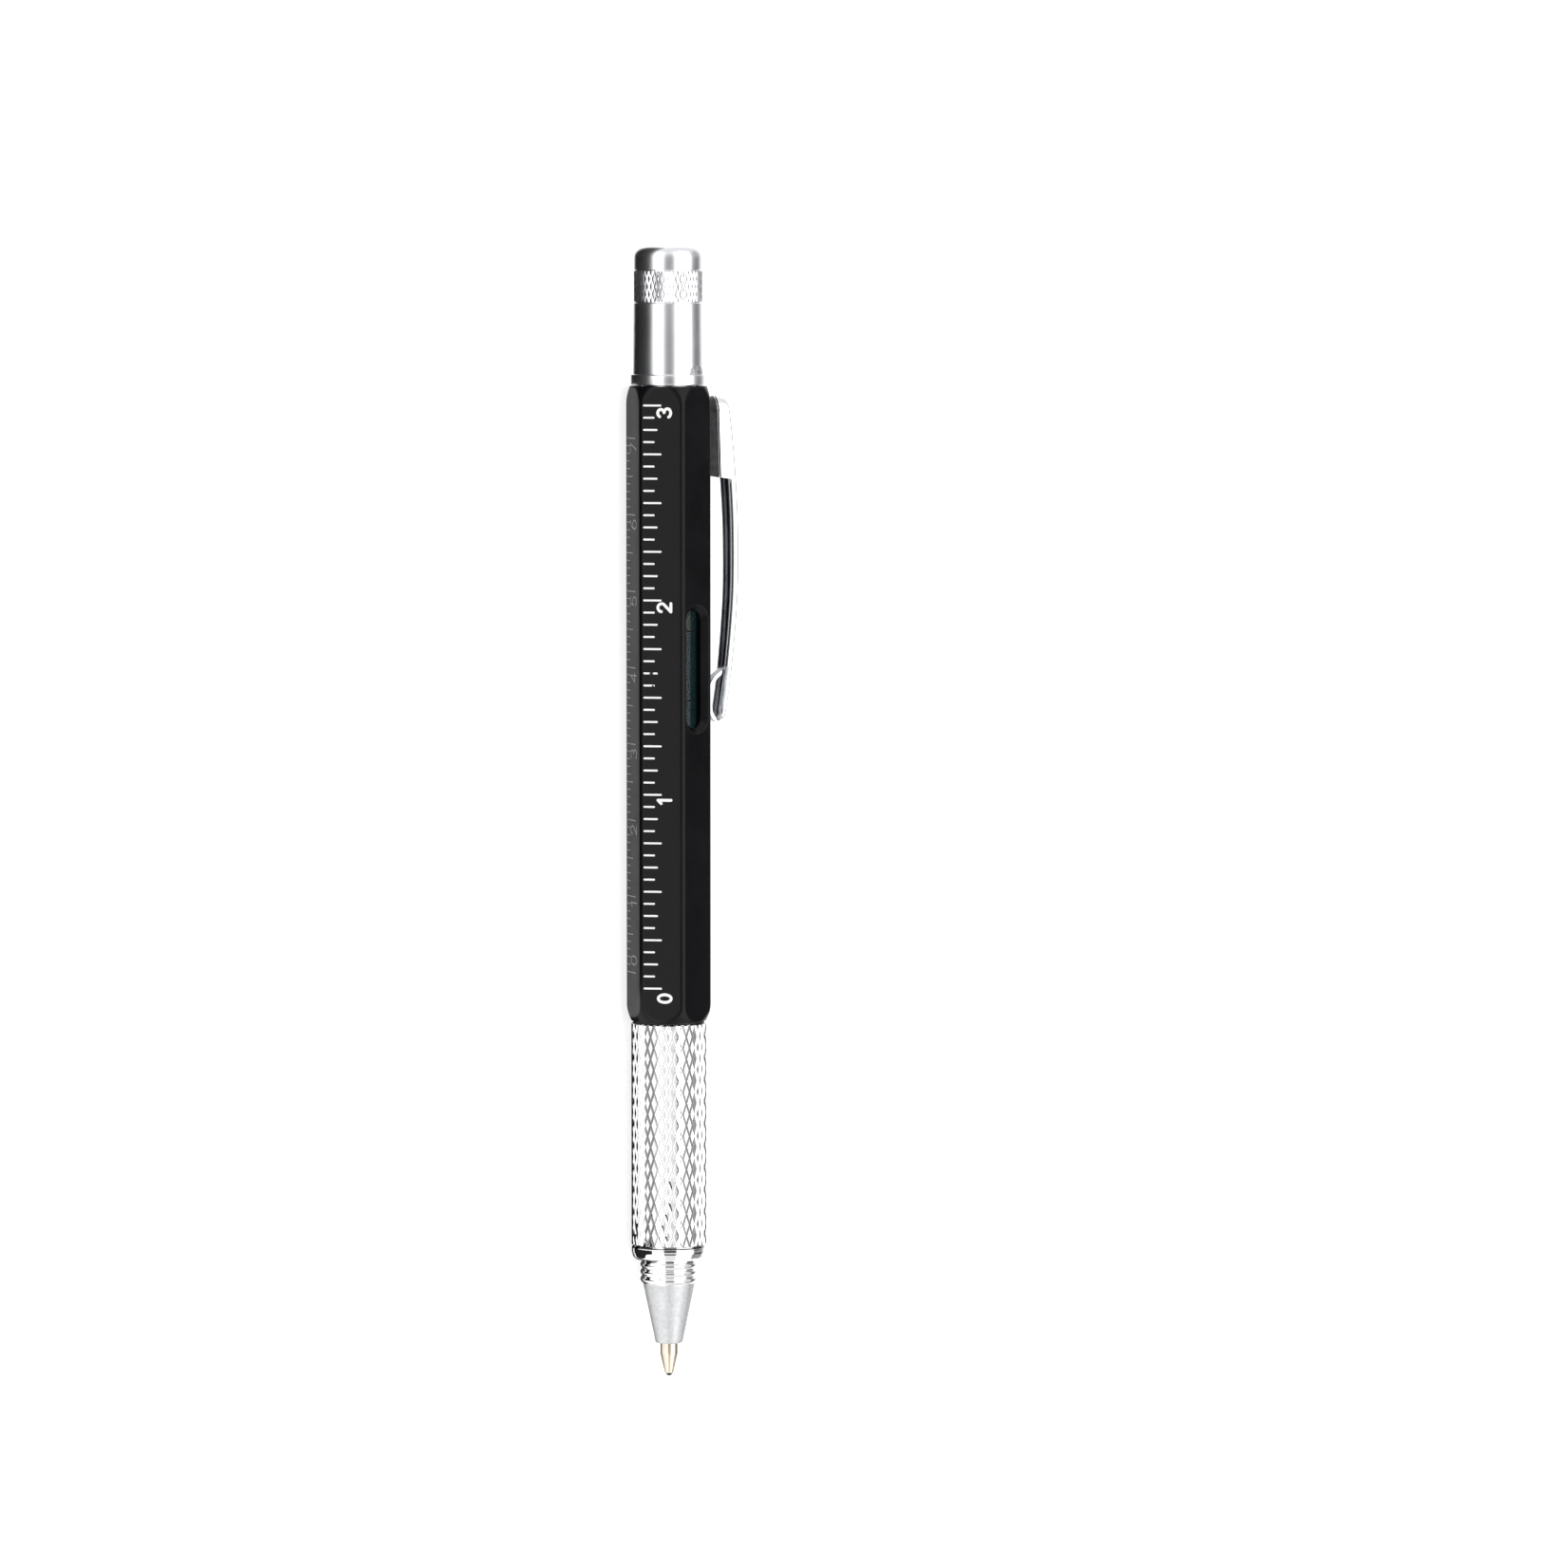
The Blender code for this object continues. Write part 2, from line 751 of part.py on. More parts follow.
def make_clip():
    """A pressed channel: its plan runs round both ends, and its walls hang from the face."""
    rings = []
    shape = bmesh.new()
    lean = 1 - math.sqrt(0.5)
    for inset, drop in (
        (0, None), (0, clip_edge_radius),
        (clip_edge_radius * lean, clip_edge_radius * lean), (clip_edge_radius, 0),
    ):
        left, right = [], []
        outline = clip_outline(inset)
        for index, (place, half) in enumerate(outline):
            height = clip_wall_foot(place) if drop is None else clip_height(place) - drop
            point = shape.verts.new((height, half, -place))
            left.append(point)
            if index == 0:
                right.append(point)
            else:
                right.append(shape.verts.new((height, -half, -place)))
        rings.append((left, right))
    for (left, right), (next_left, next_right) in zip(rings, rings[1:]):
        for index in range(len(left) - 1):
            shape.faces.new((left[index], left[index + 1], next_left[index + 1], next_left[index]))
            shape.faces.new((right[index + 1], right[index], next_right[index], next_right[index + 1]))
        shape.faces.new((left[-1], right[-1], next_right[-1], next_left[-1]))
    left, right = rings[-1]
    for index in range(len(left) - 1):
        if index == 0:
            shape.faces.new((left[0], left[1], right[1]))
        else:
            shape.faces.new((left[index], left[index + 1], right[index + 1], right[index]))
    bmesh.ops.recalc_face_normals(shape, faces=shape.faces)
    shape.faces.ensure_lookup_table()
    if shape.faces[-1].normal.x < 0:
        bmesh.ops.reverse_faces(shape, faces=shape.faces)
    clip = make_object("clip", mesh_from_bmesh("clip", shape), clip_hinge, chrome)
    sheet = clip.modifiers.new("sheet", "SOLIDIFY")
    sheet.thickness = clip_sheet
    sheet.offset = -1
    sheet.use_even_offset = True
    boolean(clip, clip_tongue(), "UNION")
    for side in (1, -1):
        tab_height = clip_seat_gap + clip_edge_radius + clip_tab_depth
        tab = box(
            "clip_tab_left" if side > 0 else "clip_tab_right",
            (tab_height, clip_sheet - 2 * flush_step, clip_tab_length), clip_hinge,
        )
        tab.location = (
            tab_height / 2 - clip_tab_depth,
            side * (clip_half_width(clip_tab_middle) - clip_sheet / 2), -clip_tab_middle,
        )
        boolean(clip, tab, "UNION")
    return clip


def clip_tongue():
    """The sheet at the clip's free end, curled under toward the barrel."""
    shape = bmesh.new()
    rows = []
    for share in smooth_line(clip_tongue_shares, 3):
        height, place = share.y * clip_rise, -share.x * clip_length
        rows.append([shape.verts.new((height, side * clip_tongue_width / 2, place)) for side in (1, -1)])
    for row, next_row in zip(rows, rows[1:]):
        shape.faces.new((row[0], row[1], next_row[1], next_row[0]))
    tongue = make_object("clip_tongue", mesh_from_bmesh("clip_tongue", shape), clip_hinge)
    sheet = tongue.modifiers.new("sheet", "SOLIDIFY")
    sheet.thickness = clip_sheet - 2 * flush_step
    sheet.offset = 0
    return tongue


def make_cap():
    """One moulded piece: flange, drafted cylinder, knurled band and domed crown."""
    def plain(height, radius):
        return (height, radius, radius)

    crown = arc(
        cap_top_radius - cap_corner_radius, cap_top - cap_crown_rise - cap_corner_radius,
        cap_corner_radius, 90, 0, 4,
    )
    rings = [plain(cap_top, 0)]
    rings += [plain(height, radius) for radius, height in crown]
    rings += [
        plain(band_top + cap_band_groove, cap_top_radius),
        plain(band_top, cap_top_radius - knurl_depth),
    ]
    rings += knurl_rings(band_top - cap_band_groove, band_bottom + cap_band_groove, cap_top_radius)
    rings += [
        plain(band_bottom, cap_top_radius - knurl_depth),
        plain(band_bottom - cap_band_groove, cap_top_radius + cap_shoulder_rise),
        plain(flange_top, cap_base_radius),
        plain(flange_top - flange_bevel, flange_radius),
        plain(cap_bottom + flange_bevel, flange_radius),
        plain(cap_bottom, flange_radius - flange_bevel),
        plain(cap_bottom, cap_bore_radius),
        plain(cap_thread_top, cap_bore_radius),
        plain(cap_thread_top, cap_chamber_radius),
        plain(chamber_top, cap_chamber_radius),
        plain(chamber_top, 0),
    ]
    return ring_solid("cap", rings, cap_axis, satin_chrome)


def make_grip_sleeve():
    crest = grip_radius
    plain_radius = grip_radius - knurl_depth
    top, bottom = grip_top, grip_bottom
    rings = [(top, plain_radius, plain_radius)]
    rings += knurl_rings(top - grip_bevel, bottom + grip_bevel, crest)
    rings += [
        (bottom, plain_radius, plain_radius),
        (bottom, sleeve_bore_radius, sleeve_bore_radius),
        (top, sleeve_bore_radius, sleeve_bore_radius),
    ]
    return ring_solid("grip_sleeve", rings, grip_axis, chrome)


def make_grip_core():
    return turned(
        "grip_core",
        [
            (journal_radius, journal_top), (journal_radius, grip_top),
            (core_radius, grip_top), (core_radius, grip_bottom),
            (core_bore_radius, grip_bottom), (core_bore_radius, journal_top),
        ],
        plain_steps, grip_axis, turned_brass,
    )


def make_grip_washer():
    return turned(
        "grip_washer",
        tube_profile(grip_radius - washer_inset, journal_radius + seat_gap, washer_top, washer_bottom),
        fine_steps, pen_axis, black_plastic,
    )


def ridge_profile():
    """Ridges under the collar, each with a flat crest and sloping sides."""
    points = []
    crest = ridge_root_radius + ridge_height
    for index in range(ridge_count):
        top = collar_bottom - ridge_run_in - index * ridge_pitch
        half_crest = ridge_crest_share * ridge_pitch / 2
        middle = top - ridge_pitch / 2
        points += [
            (ridge_root_radius, top), (crest, middle + half_crest), (crest, middle - half_crest),
        ]
    return points


def make_nose_cone():
    """Spigot, collar, ridges and cone, with the refill's bore and throat."""
    profile = [(spigot_radius, spigot_top), (spigot_radius, collar_top), (collar_radius, collar_top)]
    profile += [
        (collar_radius, collar_bottom + collar_bevel_length),
        (collar_radius - collar_bevel_depth / 3, collar_bottom + collar_bevel_length / 3),
        (collar_radius - collar_bevel_depth, collar_bottom),
        (ridge_root_radius, collar_bottom),
    ]
    profile += ridge_profile()
    profile += [(cone_start_radius, cone_top)]
    profile += arc(
        cone_end_radius - nose_rounding, nose_end + nose_rounding, nose_rounding, 0, -90, 3
    )
    profile += [
        (nose_throat_radius, nose_end),
        (nose_throat_radius, nose_end + nose_throat_length),
        (nose_bore_radius, nose_end + nose_throat_length + nose_throat_taper),
        (nose_bore_radius, spigot_top),
    ]
    return turned("nose_cone", profile, fine_steps, grip_axis, satin_chrome)


def make_refill_tube():
    return turned(
        "refill_tube", tube_profile(refill_radius, refill_bore_radius, refill_top, refill_bottom),
        small_steps, refill_axis, turned_brass,
    )


def make_refill_tip():
    shank = refill_bore_radius - seat_gap
    seat = ball_radius + ball_gap
    profile = [
        (shank, tip_top), (shank, tip_head_top), (refill_radius, tip_head_top),
        (refill_radius, tip_shoulder), (tip_cone_end_radius, tip_cone_end), (seat, tip_cone_end),
    ]
    profile += arc(0, ball_centre, seat, 0, 60, 4)
    profile += [(tip_ink_bore_radius, ball_centre + seat), (tip_ink_bore_radius, tip_top)]
    return turned("refill_tip", profile, small_steps, refill_axis, nickel_silver)


def make_writing_ball():
    profile = [
        (max(0, radius), height)
        for radius, height in arc(0, ball_centre, ball_radius, 90, -90, 8)
    ]
    profile[0] = (0, ball_centre + ball_radius)
    profile[-1] = (0, ball_end)
    return turned("writing_ball", profile, tiny_steps, refill_axis, tool_steel, closed=False)


def make_ink_column():
    return turned(
        "ink_column",
        rod_profile(refill_bore_radius - fit_gap, ink_bottom + ink_length, ink_bottom),
        tiny_steps, refill_axis, blue_ink, closed=False,
    )


def make_plunger():
    profile = [
        (0, plunger_top), (plunger_radius, plunger_top), (plunger_radius, plunger_bottom),
        (plunger_bore_radius, plunger_bottom), (plunger_bore_radius, refill_top + seat_gap),
        (0, refill_top + seat_gap),
    ]
    plunger = turned("plunger", profile, small_steps, refill_axis, white_plastic, closed=False)
    hole_reach = plunger_radius + cutter_overrun
    hole = turned(
        "pin_hole", rod_profile(pin_radius + fit_gap, hole_reach, -hole_reach),
        tiny_steps, refill_axis, closed=False,
    )
    hole.location = (0, 0, pin_station)
    hole.rotation_euler = (math.radians(90), 0, 0)
    boolean(plunger, hole)
    return plunger


def make_drive_pin():
    reach = cam_radius - pin_end_gap
    pin = turned(
        "drive_pin", rod_profile(pin_radius, reach, -reach),
        tiny_steps, refill_axis, tool_steel, closed=False,
    )
    pin.location = (0, 0, pin_station)
    pin.rotation_euler = (math.radians(90), 0, 0)
    return pin


def make_rotor():
    """Tube with two straight slots, which carries the pin round and lets it slide."""
    profile = [
        (rotor_radius + rotor_lip_overlap, rotor_top),
        (rotor_radius + rotor_lip_overlap, rotor_lip_bottom),
        (rotor_radius, rotor_lip_bottom), (rotor_radius, rotor_bottom),
        (rotor_bore_radius, rotor_bottom), (rotor_bore_radius, rotor_top),
    ]
    rotor = turned("rotor", profile, plain_steps, grip_axis, white_plastic)
    slot_width = 2 * (pin_radius + fit_gap)
    slot_length = retract_travel + slot_width + 2 * fit_gap
    slot = box(
        "rotor_slot", (slot_width, 2 * (rotor_radius + cutter_overrun), slot_length), grip_axis
    )
    slot.location = (0, 0, pin_station + retract_travel / 2)
    boolean(rotor, slot)
    return rotor


def helix_cutter(name, start_angle):
    """The path of one end of the drive pin, as a tube through the cam sleeve's wall."""
    radius = (cam_bore_radius + cam_radius) / 2
    slot_radius = pin_radius + seat_gap
    path_length = math.hypot(radius * twist_range, retract_travel)
    spare = slot_radius / path_length
    count = 20
    curve = bpy.data.curves.new(name, "CURVE")
    curve.dimensions = "3D"
    curve.bevel_depth = slot_radius
    curve.bevel_resolution = 2
    curve.use_fill_caps = True
    spline = curve.splines.new("POLY")
    spline.points.add(count)
    for index in range(count + 1):
        share = -spare + (1 + 2 * spare) * index / count
        angle = start_angle + twist_range * share
        height = pin_station + retract_travel * share
        spline.points[index].co = (radius * math.cos(angle), radius * math.sin(angle), height, 1)
    path = bpy.data.objects.new(name, curve)
    pen_cutters.objects.link(path)
    path.parent = pen_axis
    return solid_from_curve(path)


def make_cam_sleeve():
    """Fixed sleeve with two helical slots, which push the pin along as it is carried round."""
    sleeve = turned(
        "cam_sleeve", tube_profile(cam_radius, cam_bore_radius, cam_top, cam_bottom),
        plain_steps, pen_axis, white_plastic,
    )
    for side, name in ((1, "cam_slot_near"), (-1, "cam_slot_far")):
        boolean(sleeve, helix_cutter(name, side * math.radians(90)))
    return sleeve


def make_vial_tube():
    profile = [
        (0, vial_cavity_bottom), (vial_bore_radius, vial_cavity_bottom),
        (vial_bore_radius, vial_top), (vial_radius, vial_top),
        (vial_radius, vial_bottom), (0, vial_bottom),
    ]
    return turned("vial_tube", profile, plain_steps, level_axis, clear_plastic, closed=False)


def make_vial_plug():
    return turned(
        "vial_plug", rod_profile(vial_bore_radius - vial_plug_gap, vial_top, plug_bottom),
        plain_steps, level_axis, black_plastic, closed=False,
    )


def capsule_profile(radius, top, bottom):
    upper = arc(0, top - radius, radius, 90, 0, 5)
    lower = arc(0, bottom + radius, radius, 0, -90, 5)
    upper[0] = (0, top)
    lower[-1] = (0, bottom)
    return upper + lower


def make_vial_liquid():
    """The spirit, with the way at its top along which the bubble runs."""
    liquid = turned(
        "vial_liquid", rod_profile(vial_bore_radius - liquid_gap, liquid_top, liquid_bottom),
        plain_steps, level_axis, green_spirit, closed=False,
    )
    way = turned(
        "bubble_way",
        capsule_profile(bubble_radius + liquid_gap, liquid_top, liquid_bottom),
        small_steps, bubble_axis, closed=False,
    )
    boolean(liquid, way)
    return liquid


def make_vial_bubble():
    return turned(
        "vial_bubble", capsule_profile(bubble_radius, bubble_top, bubble_bottom),
        small_steps, bubble_axis, bubble_air, closed=False,
    )


def make_vial_cradle():
    cradle = turned(
        "vial_cradle", rod_profile(barrel_bore_radius - seat_gap, cradle_top, cradle_bottom),
        plain_steps, pen_axis, black_plastic, closed=False,
    )
    trough = turned(
        "vial_trough",
        rod_profile(vial_radius + seat_gap, vial_top + seat_gap, vial_bottom - seat_gap),
        plain_steps, level_axis, closed=False,
    )
    boolean(cradle, trough)
    return cradle


def make_bit_socket():
    profile = [
        (0, socket_top), (socket_radius - socket_neck_chamfer, socket_top),
        (socket_radius, socket_top - socket_neck_chamfer), (socket_radius, socket_bottom),
        (0, socket_bottom),
    ]
    socket = turned("bit_socket", profile, fine_steps, pen_axis, chrome, closed=False)
    pocket = hexagon(
        "bit_pocket", bit_corner_radius + bit_gap / math.cos(math.radians(30)),
        socket_top + cutter_overrun, pocket_bottom, pen_axis,
    )
    boolean(socket, pocket)
    return socket


def make_screwdriver_bit():
    """Reversible hexagonal bit: a cross point toward the cap, a flat blade in the socket."""
    bit = hexagon("screwdriver_bit", bit_corner_radius, bit_top, bit_bottom, pen_axis, tool_steel)
    reach = bit_corner_radius + flush_step
    shoulder = reach - bit_turned_radius
    turning = turned(
        "bit_turning",
        [
            (0, bit_top), (bit_point_radius, bit_top),
            (bit_turned_radius, bit_top - bit_point_length),
            (bit_turned_radius, bit_top - bit_turned_length),
            (reach, bit_top - bit_turned_length - shoulder),
            (reach, bit_bottom + bit_turned_length + shoulder),
            (bit_turned_radius, bit_bottom + bit_turned_length),
            (bit_turned_radius, bit_bottom), (0, bit_bottom),
        ],
        small_steps, pen_axis, closed=False,
    )
    boolean(bit, turning, "INTERSECT")
    for index in range(4):
        angle = math.radians(45 + 90 * index)
        flute = box("flute_" + str(index), (flute_side, flute_side, flute_length), pen_axis)
        out = flute_root_radius + flute_side / math.sqrt(2)
        flute.rotation_euler = (0, -flute_lean, angle)
        flute.location = (out * math.cos(angle), out * math.sin(angle), bit_top)
        flute.data.transform(Matrix.Rotation(math.radians(45), 4, "Z"))
        boolean(bit, flute)
    for side in (1, -1):
        cut = box(
            "blade_cut_left" if side > 0 else "blade_cut_right",
            (blade_cut_width, blade_cut_width, blade_cut_length), pen_axis,
        )
        cut.rotation_euler = (0, side * blade_lean, 0)
        out = (blade_thickness + blade_cut_width) / 2
        cut.location = (side * out, 0, bit_bottom)
        boolean(bit, cut)
    return bit


make_barrel()
make_cam_sleeve()
make_vial_cradle()
make_vial_tube()
make_vial_plug()
make_vial_liquid()
make_vial_bubble()
make_bit_socket()
make_screwdriver_bit()
make_cap()
make_clip()
make_grip_washer()
make_grip_sleeve()
make_grip_core()
make_rotor()
make_nose_cone()
make_refill_tube()
make_refill_tip()
make_writing_ball()
make_ink_column()
make_plunger()
make_drive_pin()

print("barrel", barrel_start, barrel_end, "across flats", 2 * barrel_half_flat)
print("length", ball_end, cap_top, "travel", retract_travel, "bubble", bubble_travel)
print("cap lift", cap_lift, "clip hinge at", clip_top, "window centre", window_centre)
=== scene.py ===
# Multi tool pen on a pale studio floor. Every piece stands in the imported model's frame.
import math

import bmesh
import bpy
from mathutils import Matrix, Vector


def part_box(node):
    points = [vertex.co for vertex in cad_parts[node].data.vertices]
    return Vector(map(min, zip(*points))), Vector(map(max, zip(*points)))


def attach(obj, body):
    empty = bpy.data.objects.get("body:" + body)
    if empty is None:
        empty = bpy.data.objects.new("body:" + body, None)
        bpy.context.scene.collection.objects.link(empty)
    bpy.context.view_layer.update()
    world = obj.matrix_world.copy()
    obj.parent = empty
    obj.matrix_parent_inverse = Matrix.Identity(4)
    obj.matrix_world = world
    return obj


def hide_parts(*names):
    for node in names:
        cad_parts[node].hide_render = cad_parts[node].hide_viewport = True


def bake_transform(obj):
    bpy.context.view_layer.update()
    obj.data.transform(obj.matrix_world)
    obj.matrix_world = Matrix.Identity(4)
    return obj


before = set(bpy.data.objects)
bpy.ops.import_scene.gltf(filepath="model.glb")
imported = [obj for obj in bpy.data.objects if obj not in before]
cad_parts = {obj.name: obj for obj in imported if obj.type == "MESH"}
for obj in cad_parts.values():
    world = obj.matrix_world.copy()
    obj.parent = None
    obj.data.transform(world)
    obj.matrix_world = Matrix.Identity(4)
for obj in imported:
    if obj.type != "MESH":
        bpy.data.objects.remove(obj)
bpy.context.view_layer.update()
mm = 0.001
weldGap = 0.0005 * mm
normalWeight = 80  # how far large faces lead the shading, in percent
noiseRoughness = 0.55


class Style(dict):
    # the values of a piece that a user would change, also read as attributes
    __getattr__ = dict.__getitem__


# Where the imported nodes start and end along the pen, so that each piece stands where its node is
spans = {name: (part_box(name)[0].x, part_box(name)[1].x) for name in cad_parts}
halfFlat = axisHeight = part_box("barrel")[1].z / 2
barrelStart, barrelEnd = spans["barrel"]

# The pen's own frame: z toward the cap, x out of the window, y toward the clip's side
penMatrix = Matrix(((0, 0, 1, 0), (0, -1, 0, 0), (1, 0, 0, axisHeight), (0, 0, 0, 1)))
faceTurn = {"clip": 60, "inch": -60, "cm": -120}


def faceMatrix(face, station=0.0):
    # x toward the cap, y across the flat away from the window, z out of the flat
    turn = math.radians(faceTurn[face])
    out = Vector((0, -math.sin(turn), math.cos(turn)))
    across = Vector((0, math.cos(turn), math.sin(turn)))
    matrix = Matrix((Vector((1, 0, 0)), across, out)).transposed().to_4x4()
    matrix.translation = Vector((station, 0, axisHeight)) + out * halfFlat
    return matrix


def turnMatrix(degrees, axis="Z"):
    return Matrix.Rotation(math.radians(degrees), 4, axis)


def moveMatrix(x=0, y=0, z=0):
    return Matrix.Translation((x, y, z))


# Mesh helpers

def linkObject(name, data):
    holder = bpy.data.objects.new(name, data)
    bpy.context.scene.collection.objects.link(holder)
    return holder


def addModifier(holder, kind, **settings):
    step = holder.modifiers.new(kind.lower(), kind)
    for label, value in settings.items():
        setattr(step, label, value)
    return step


def evaluatedMesh(holder):
    # what the modifiers make of an object, as a plain mesh; the object goes
    bpy.context.view_layer.update()
    graph = bpy.context.evaluated_depsgraph_get()
    mesh = bpy.data.meshes.new_from_object(holder.evaluated_get(graph), depsgraph=graph)
    bpy.data.objects.remove(holder, do_unlink=True)
    return mesh


def meshFrom(name, shape, clean=True):
    mesh = bpy.data.meshes.new(name)
    if clean:
        bmesh.ops.remove_doubles(shape, verts=shape.verts, dist=weldGap)
        bmesh.ops.recalc_face_normals(shape, faces=shape.faces)
    shape.to_mesh(mesh)
    shape.free()
    return mesh


def joined(name, meshes):
    shape = bmesh.new()
    for mesh in meshes:
        shape.from_mesh(mesh)
    return meshFrom(name, shape, clean=False)


def cutMesh(name, mesh, tools):
    # tools are (mesh, operation) pairs
    holder = linkObject(name, mesh)
    cutters = []
    for tool, operation in tools:
        cutters.append(linkObject(name + "_tool", tool))
        addModifier(holder, "BOOLEAN", operation=operation, solver="EXACT", object=cutters[-1])
    result = evaluatedMesh(holder)
    for cutter in cutters:
        bpy.data.objects.remove(cutter, do_unlink=True)
    return result


def finishPiece(name, mesh, material, body, nodes=(), matrix=penMatrix,
                sharp=32, flat=False):
    mesh.transform(matrix)
    if material is not None:
        mesh.materials.clear()
        mesh.materials.append(material)
    if flat:
        mesh.shade_flat()
    else:
        mesh.shade_smooth()
        mesh.set_sharp_from_angle(angle=math.radians(sharp))
        holder = linkObject(name + "_raw", mesh)
        addModifier(holder, "WEIGHTED_NORMAL", keep_sharp=True, weight=normalWeight)
        mesh = evaluatedMesh(holder)
    mesh.name = name
    piece = linkObject(name, mesh)
    if body:
        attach(piece, body)
    if nodes:
        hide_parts(*nodes)
    print("made", name, len(mesh.polygons))
    return piece


def bridge(shape, rings, closed=True):
    # faces between neighbouring rings; a ring of one point is a pole
    for first, second in zip(rings, rings[1:]):
        count = max(len(first), len(second))
        for index in range(count if closed else count - 1):
            after = (index + 1) % count
            corners = dict.fromkeys((
                first[index % len(first)], first[after % len(first)],
                second[after % len(second)], second[index % len(second)],
            ))
            if len(corners) > 2:
                shape.faces.new(tuple(corners))


def shellMesh(name, shape, rings):
    bridge(shape, rings)
    shape.faces.new(rings[0][::-1])
    shape.faces.new(rings[-1])
    return meshFrom(name, shape)


def filleted(profile, count=5):
    # a profile of (radius, height) or (radius, height, rounding), its marked corners rounded
    points = []
    for index, corner in enumerate(profile):
        here = Vector(corner[:2])
        if len(corner) < 3:
            points.append(tuple(here))
            continue
        before = Vector(profile[index - 1][:2]) - here
        after = Vector(profile[(index + 1) % len(profile)][:2]) - here
        cut = corner[2] / math.tan(before.angle(after) / 2)
        cut = min(cut, 0.48 * before.length, 0.48 * after.length)
        start, end = here + before.normalized() * cut, here + after.normalized() * cut
        for step in range(count + 1):
            t = step / count
            points.append(tuple(start * (1 - t) ** 2 + here * 2 * t * (1 - t) + end * t ** 2))
    return points


def turnedMesh(name, profile, steps, closed=False, reach=None):
    # reach(radius, height, angle) can draw single points in
    shape = bmesh.new()
    rings = []
    for radius, height in profile:
        if radius < weldGap:
            rings.append([shape.verts.new((0, 0, height))])
            continue
        ring = []
        for step in range(steps):
            angle = math.tau * step / steps
            real = reach(radius, height, angle) if reach else radius
            ring.append(shape.verts.new((real * math.cos(angle), real * math.sin(angle), height)))
        rings.append(ring)
    bridge(shape, rings + rings[:1] if closed else rings)
    return meshFrom(name, shape)


def arcPoints(centreRadius, centreHeight, radius, start, end, count):
    points = []
    for step in range(count + 1):
        angle = math.radians(start + (end - start) * step / count)
        points.append((
            max(0, centreRadius + radius * math.cos(angle)), centreHeight + radius * math.sin(angle)
        ))
    return points


def boxMesh(name, size, matrix):
    shape = bmesh.new()
    bmesh.ops.create_cube(shape, size=1)
    bmesh.ops.scale(shape, vec=size, verts=shape.verts)
    bmesh.ops.transform(shape, matrix=matrix, verts=shape.verts)
    return meshFrom(name, shape)


def hexPrism(name, reach, rounding, steps, bottom, top):
    # a hexagonal bar with a flat facing x, each corner an arc
    shape = bmesh.new()
    outline = []
    centre = reach - rounding / math.cos(math.radians(30))
    for corner in range(6):
        middle = 30 + 60 * corner
        for step in range(steps + 1):
            angle = math.radians(middle - 30 + 60 * step / steps)
            outline.append((
                centre * math.cos(math.radians(middle)) + rounding * math.cos(angle),
                centre * math.sin(math.radians(middle)) + rounding * math.sin(angle),
            ))
    rings = [[shape.verts.new((x, y, z)) for x, y in outline] for z in (bottom, top)]
    return shellMesh(name, shape, rings)


# Node helpers

class Wire:
    # a node's output, which takes plain arithmetic
    def __init__(self, socket):
        self.socket, self.tree = socket, socket.id_data

    def __add__(self, other):
        return addMath("ADD", self, other)

    def __sub__(self, other):
        return addMath("SUBTRACT", self, other)

    def __rsub__(self, other):
        return addMath("SUBTRACT", other, self)

    def __mul__(self, other):
        return addMath("MULTIPLY", self, other)

    def __truediv__(self, other):
        return addMath("DIVIDE", self, other)

    def __rtruediv__(self, other):
        return addMath("DIVIDE", other, self)


def plug(value, socket):
    if isinstance(value, Wire):
        value.tree.links.new(value.socket, socket)
    else:
        socket.default_value = value


def addMath(operation, *values):
    tree = next(value.tree for value in values if isinstance(value, Wire))
    node = tree.nodes.new("ShaderNodeMath")
    node.operation = operation
    for value, socket in zip(values, node.inputs):
        plug(value, socket)
    return Wire(node.outputs[0])


def setSockets(node, values):
    # sockets are named by their label without spaces, and take a value or a wire
    for label, value in values.items():
        plug(value, next(
            socket for socket in node.inputs if socket.enabled and socket.name.replace(" ", "") == label
        ))


def addNode(tree, kind, settings=None, out=0, **sockets):
    node = tree.nodes.new(kind)
    for label, value in (settings or {}).items():
        setattr(node, label, value)
    setSockets(node, sockets)
    return Wire(node.outputs[out])


def addVector(tree, x=0.0, y=0.0, z=0.0):
    return addNode(tree, "ShaderNodeCombineXYZ", X=x, Y=y, Z=z)


def parted(vector):
    node = addNode(vector.tree, "ShaderNodeSeparateXYZ", Vector=vector).socket.node
    return [Wire(socket) for socket in node.outputs]


def camel(label):
    label = label.replace(" ", "")
    return label[0].lower() + label[1:]


def newTree(name, **labels):
    # the tree's inputs are given by kind, and come back as wires
    tree = bpy.data.node_groups.new(name, "GeometryNodeTree")
    for kind, names in labels.items():
        for label in names:
            tree.interface.new_socket(label, in_out="INPUT", socket_type="NodeSocket" + kind)
    tree.interface.new_socket("Geometry", in_out="OUTPUT", socket_type="NodeSocketGeometry")
    outputs = tree.nodes.new("NodeGroupInput").outputs
    return tree, Style({camel(socket.name): Wire(socket) for socket in outputs if socket.name})


def joinParts(tree, parts):
    join = tree.nodes.new("GeometryNodeJoinGeometry")
    for part in parts:
        plug(part, join.inputs[0])
    return Wire(join.outputs[0])


def closeTree(tree, parts, material):
    real = addNode(tree, "GeometryNodeRealizeInstances", Geometry=joinParts(tree, parts))
    plated = addNode(tree, "GeometryNodeSetMaterial", Geometry=real, Material=material)
    plug(plated, tree.nodes.new("NodeGroupOutput").inputs[0])
    return tree


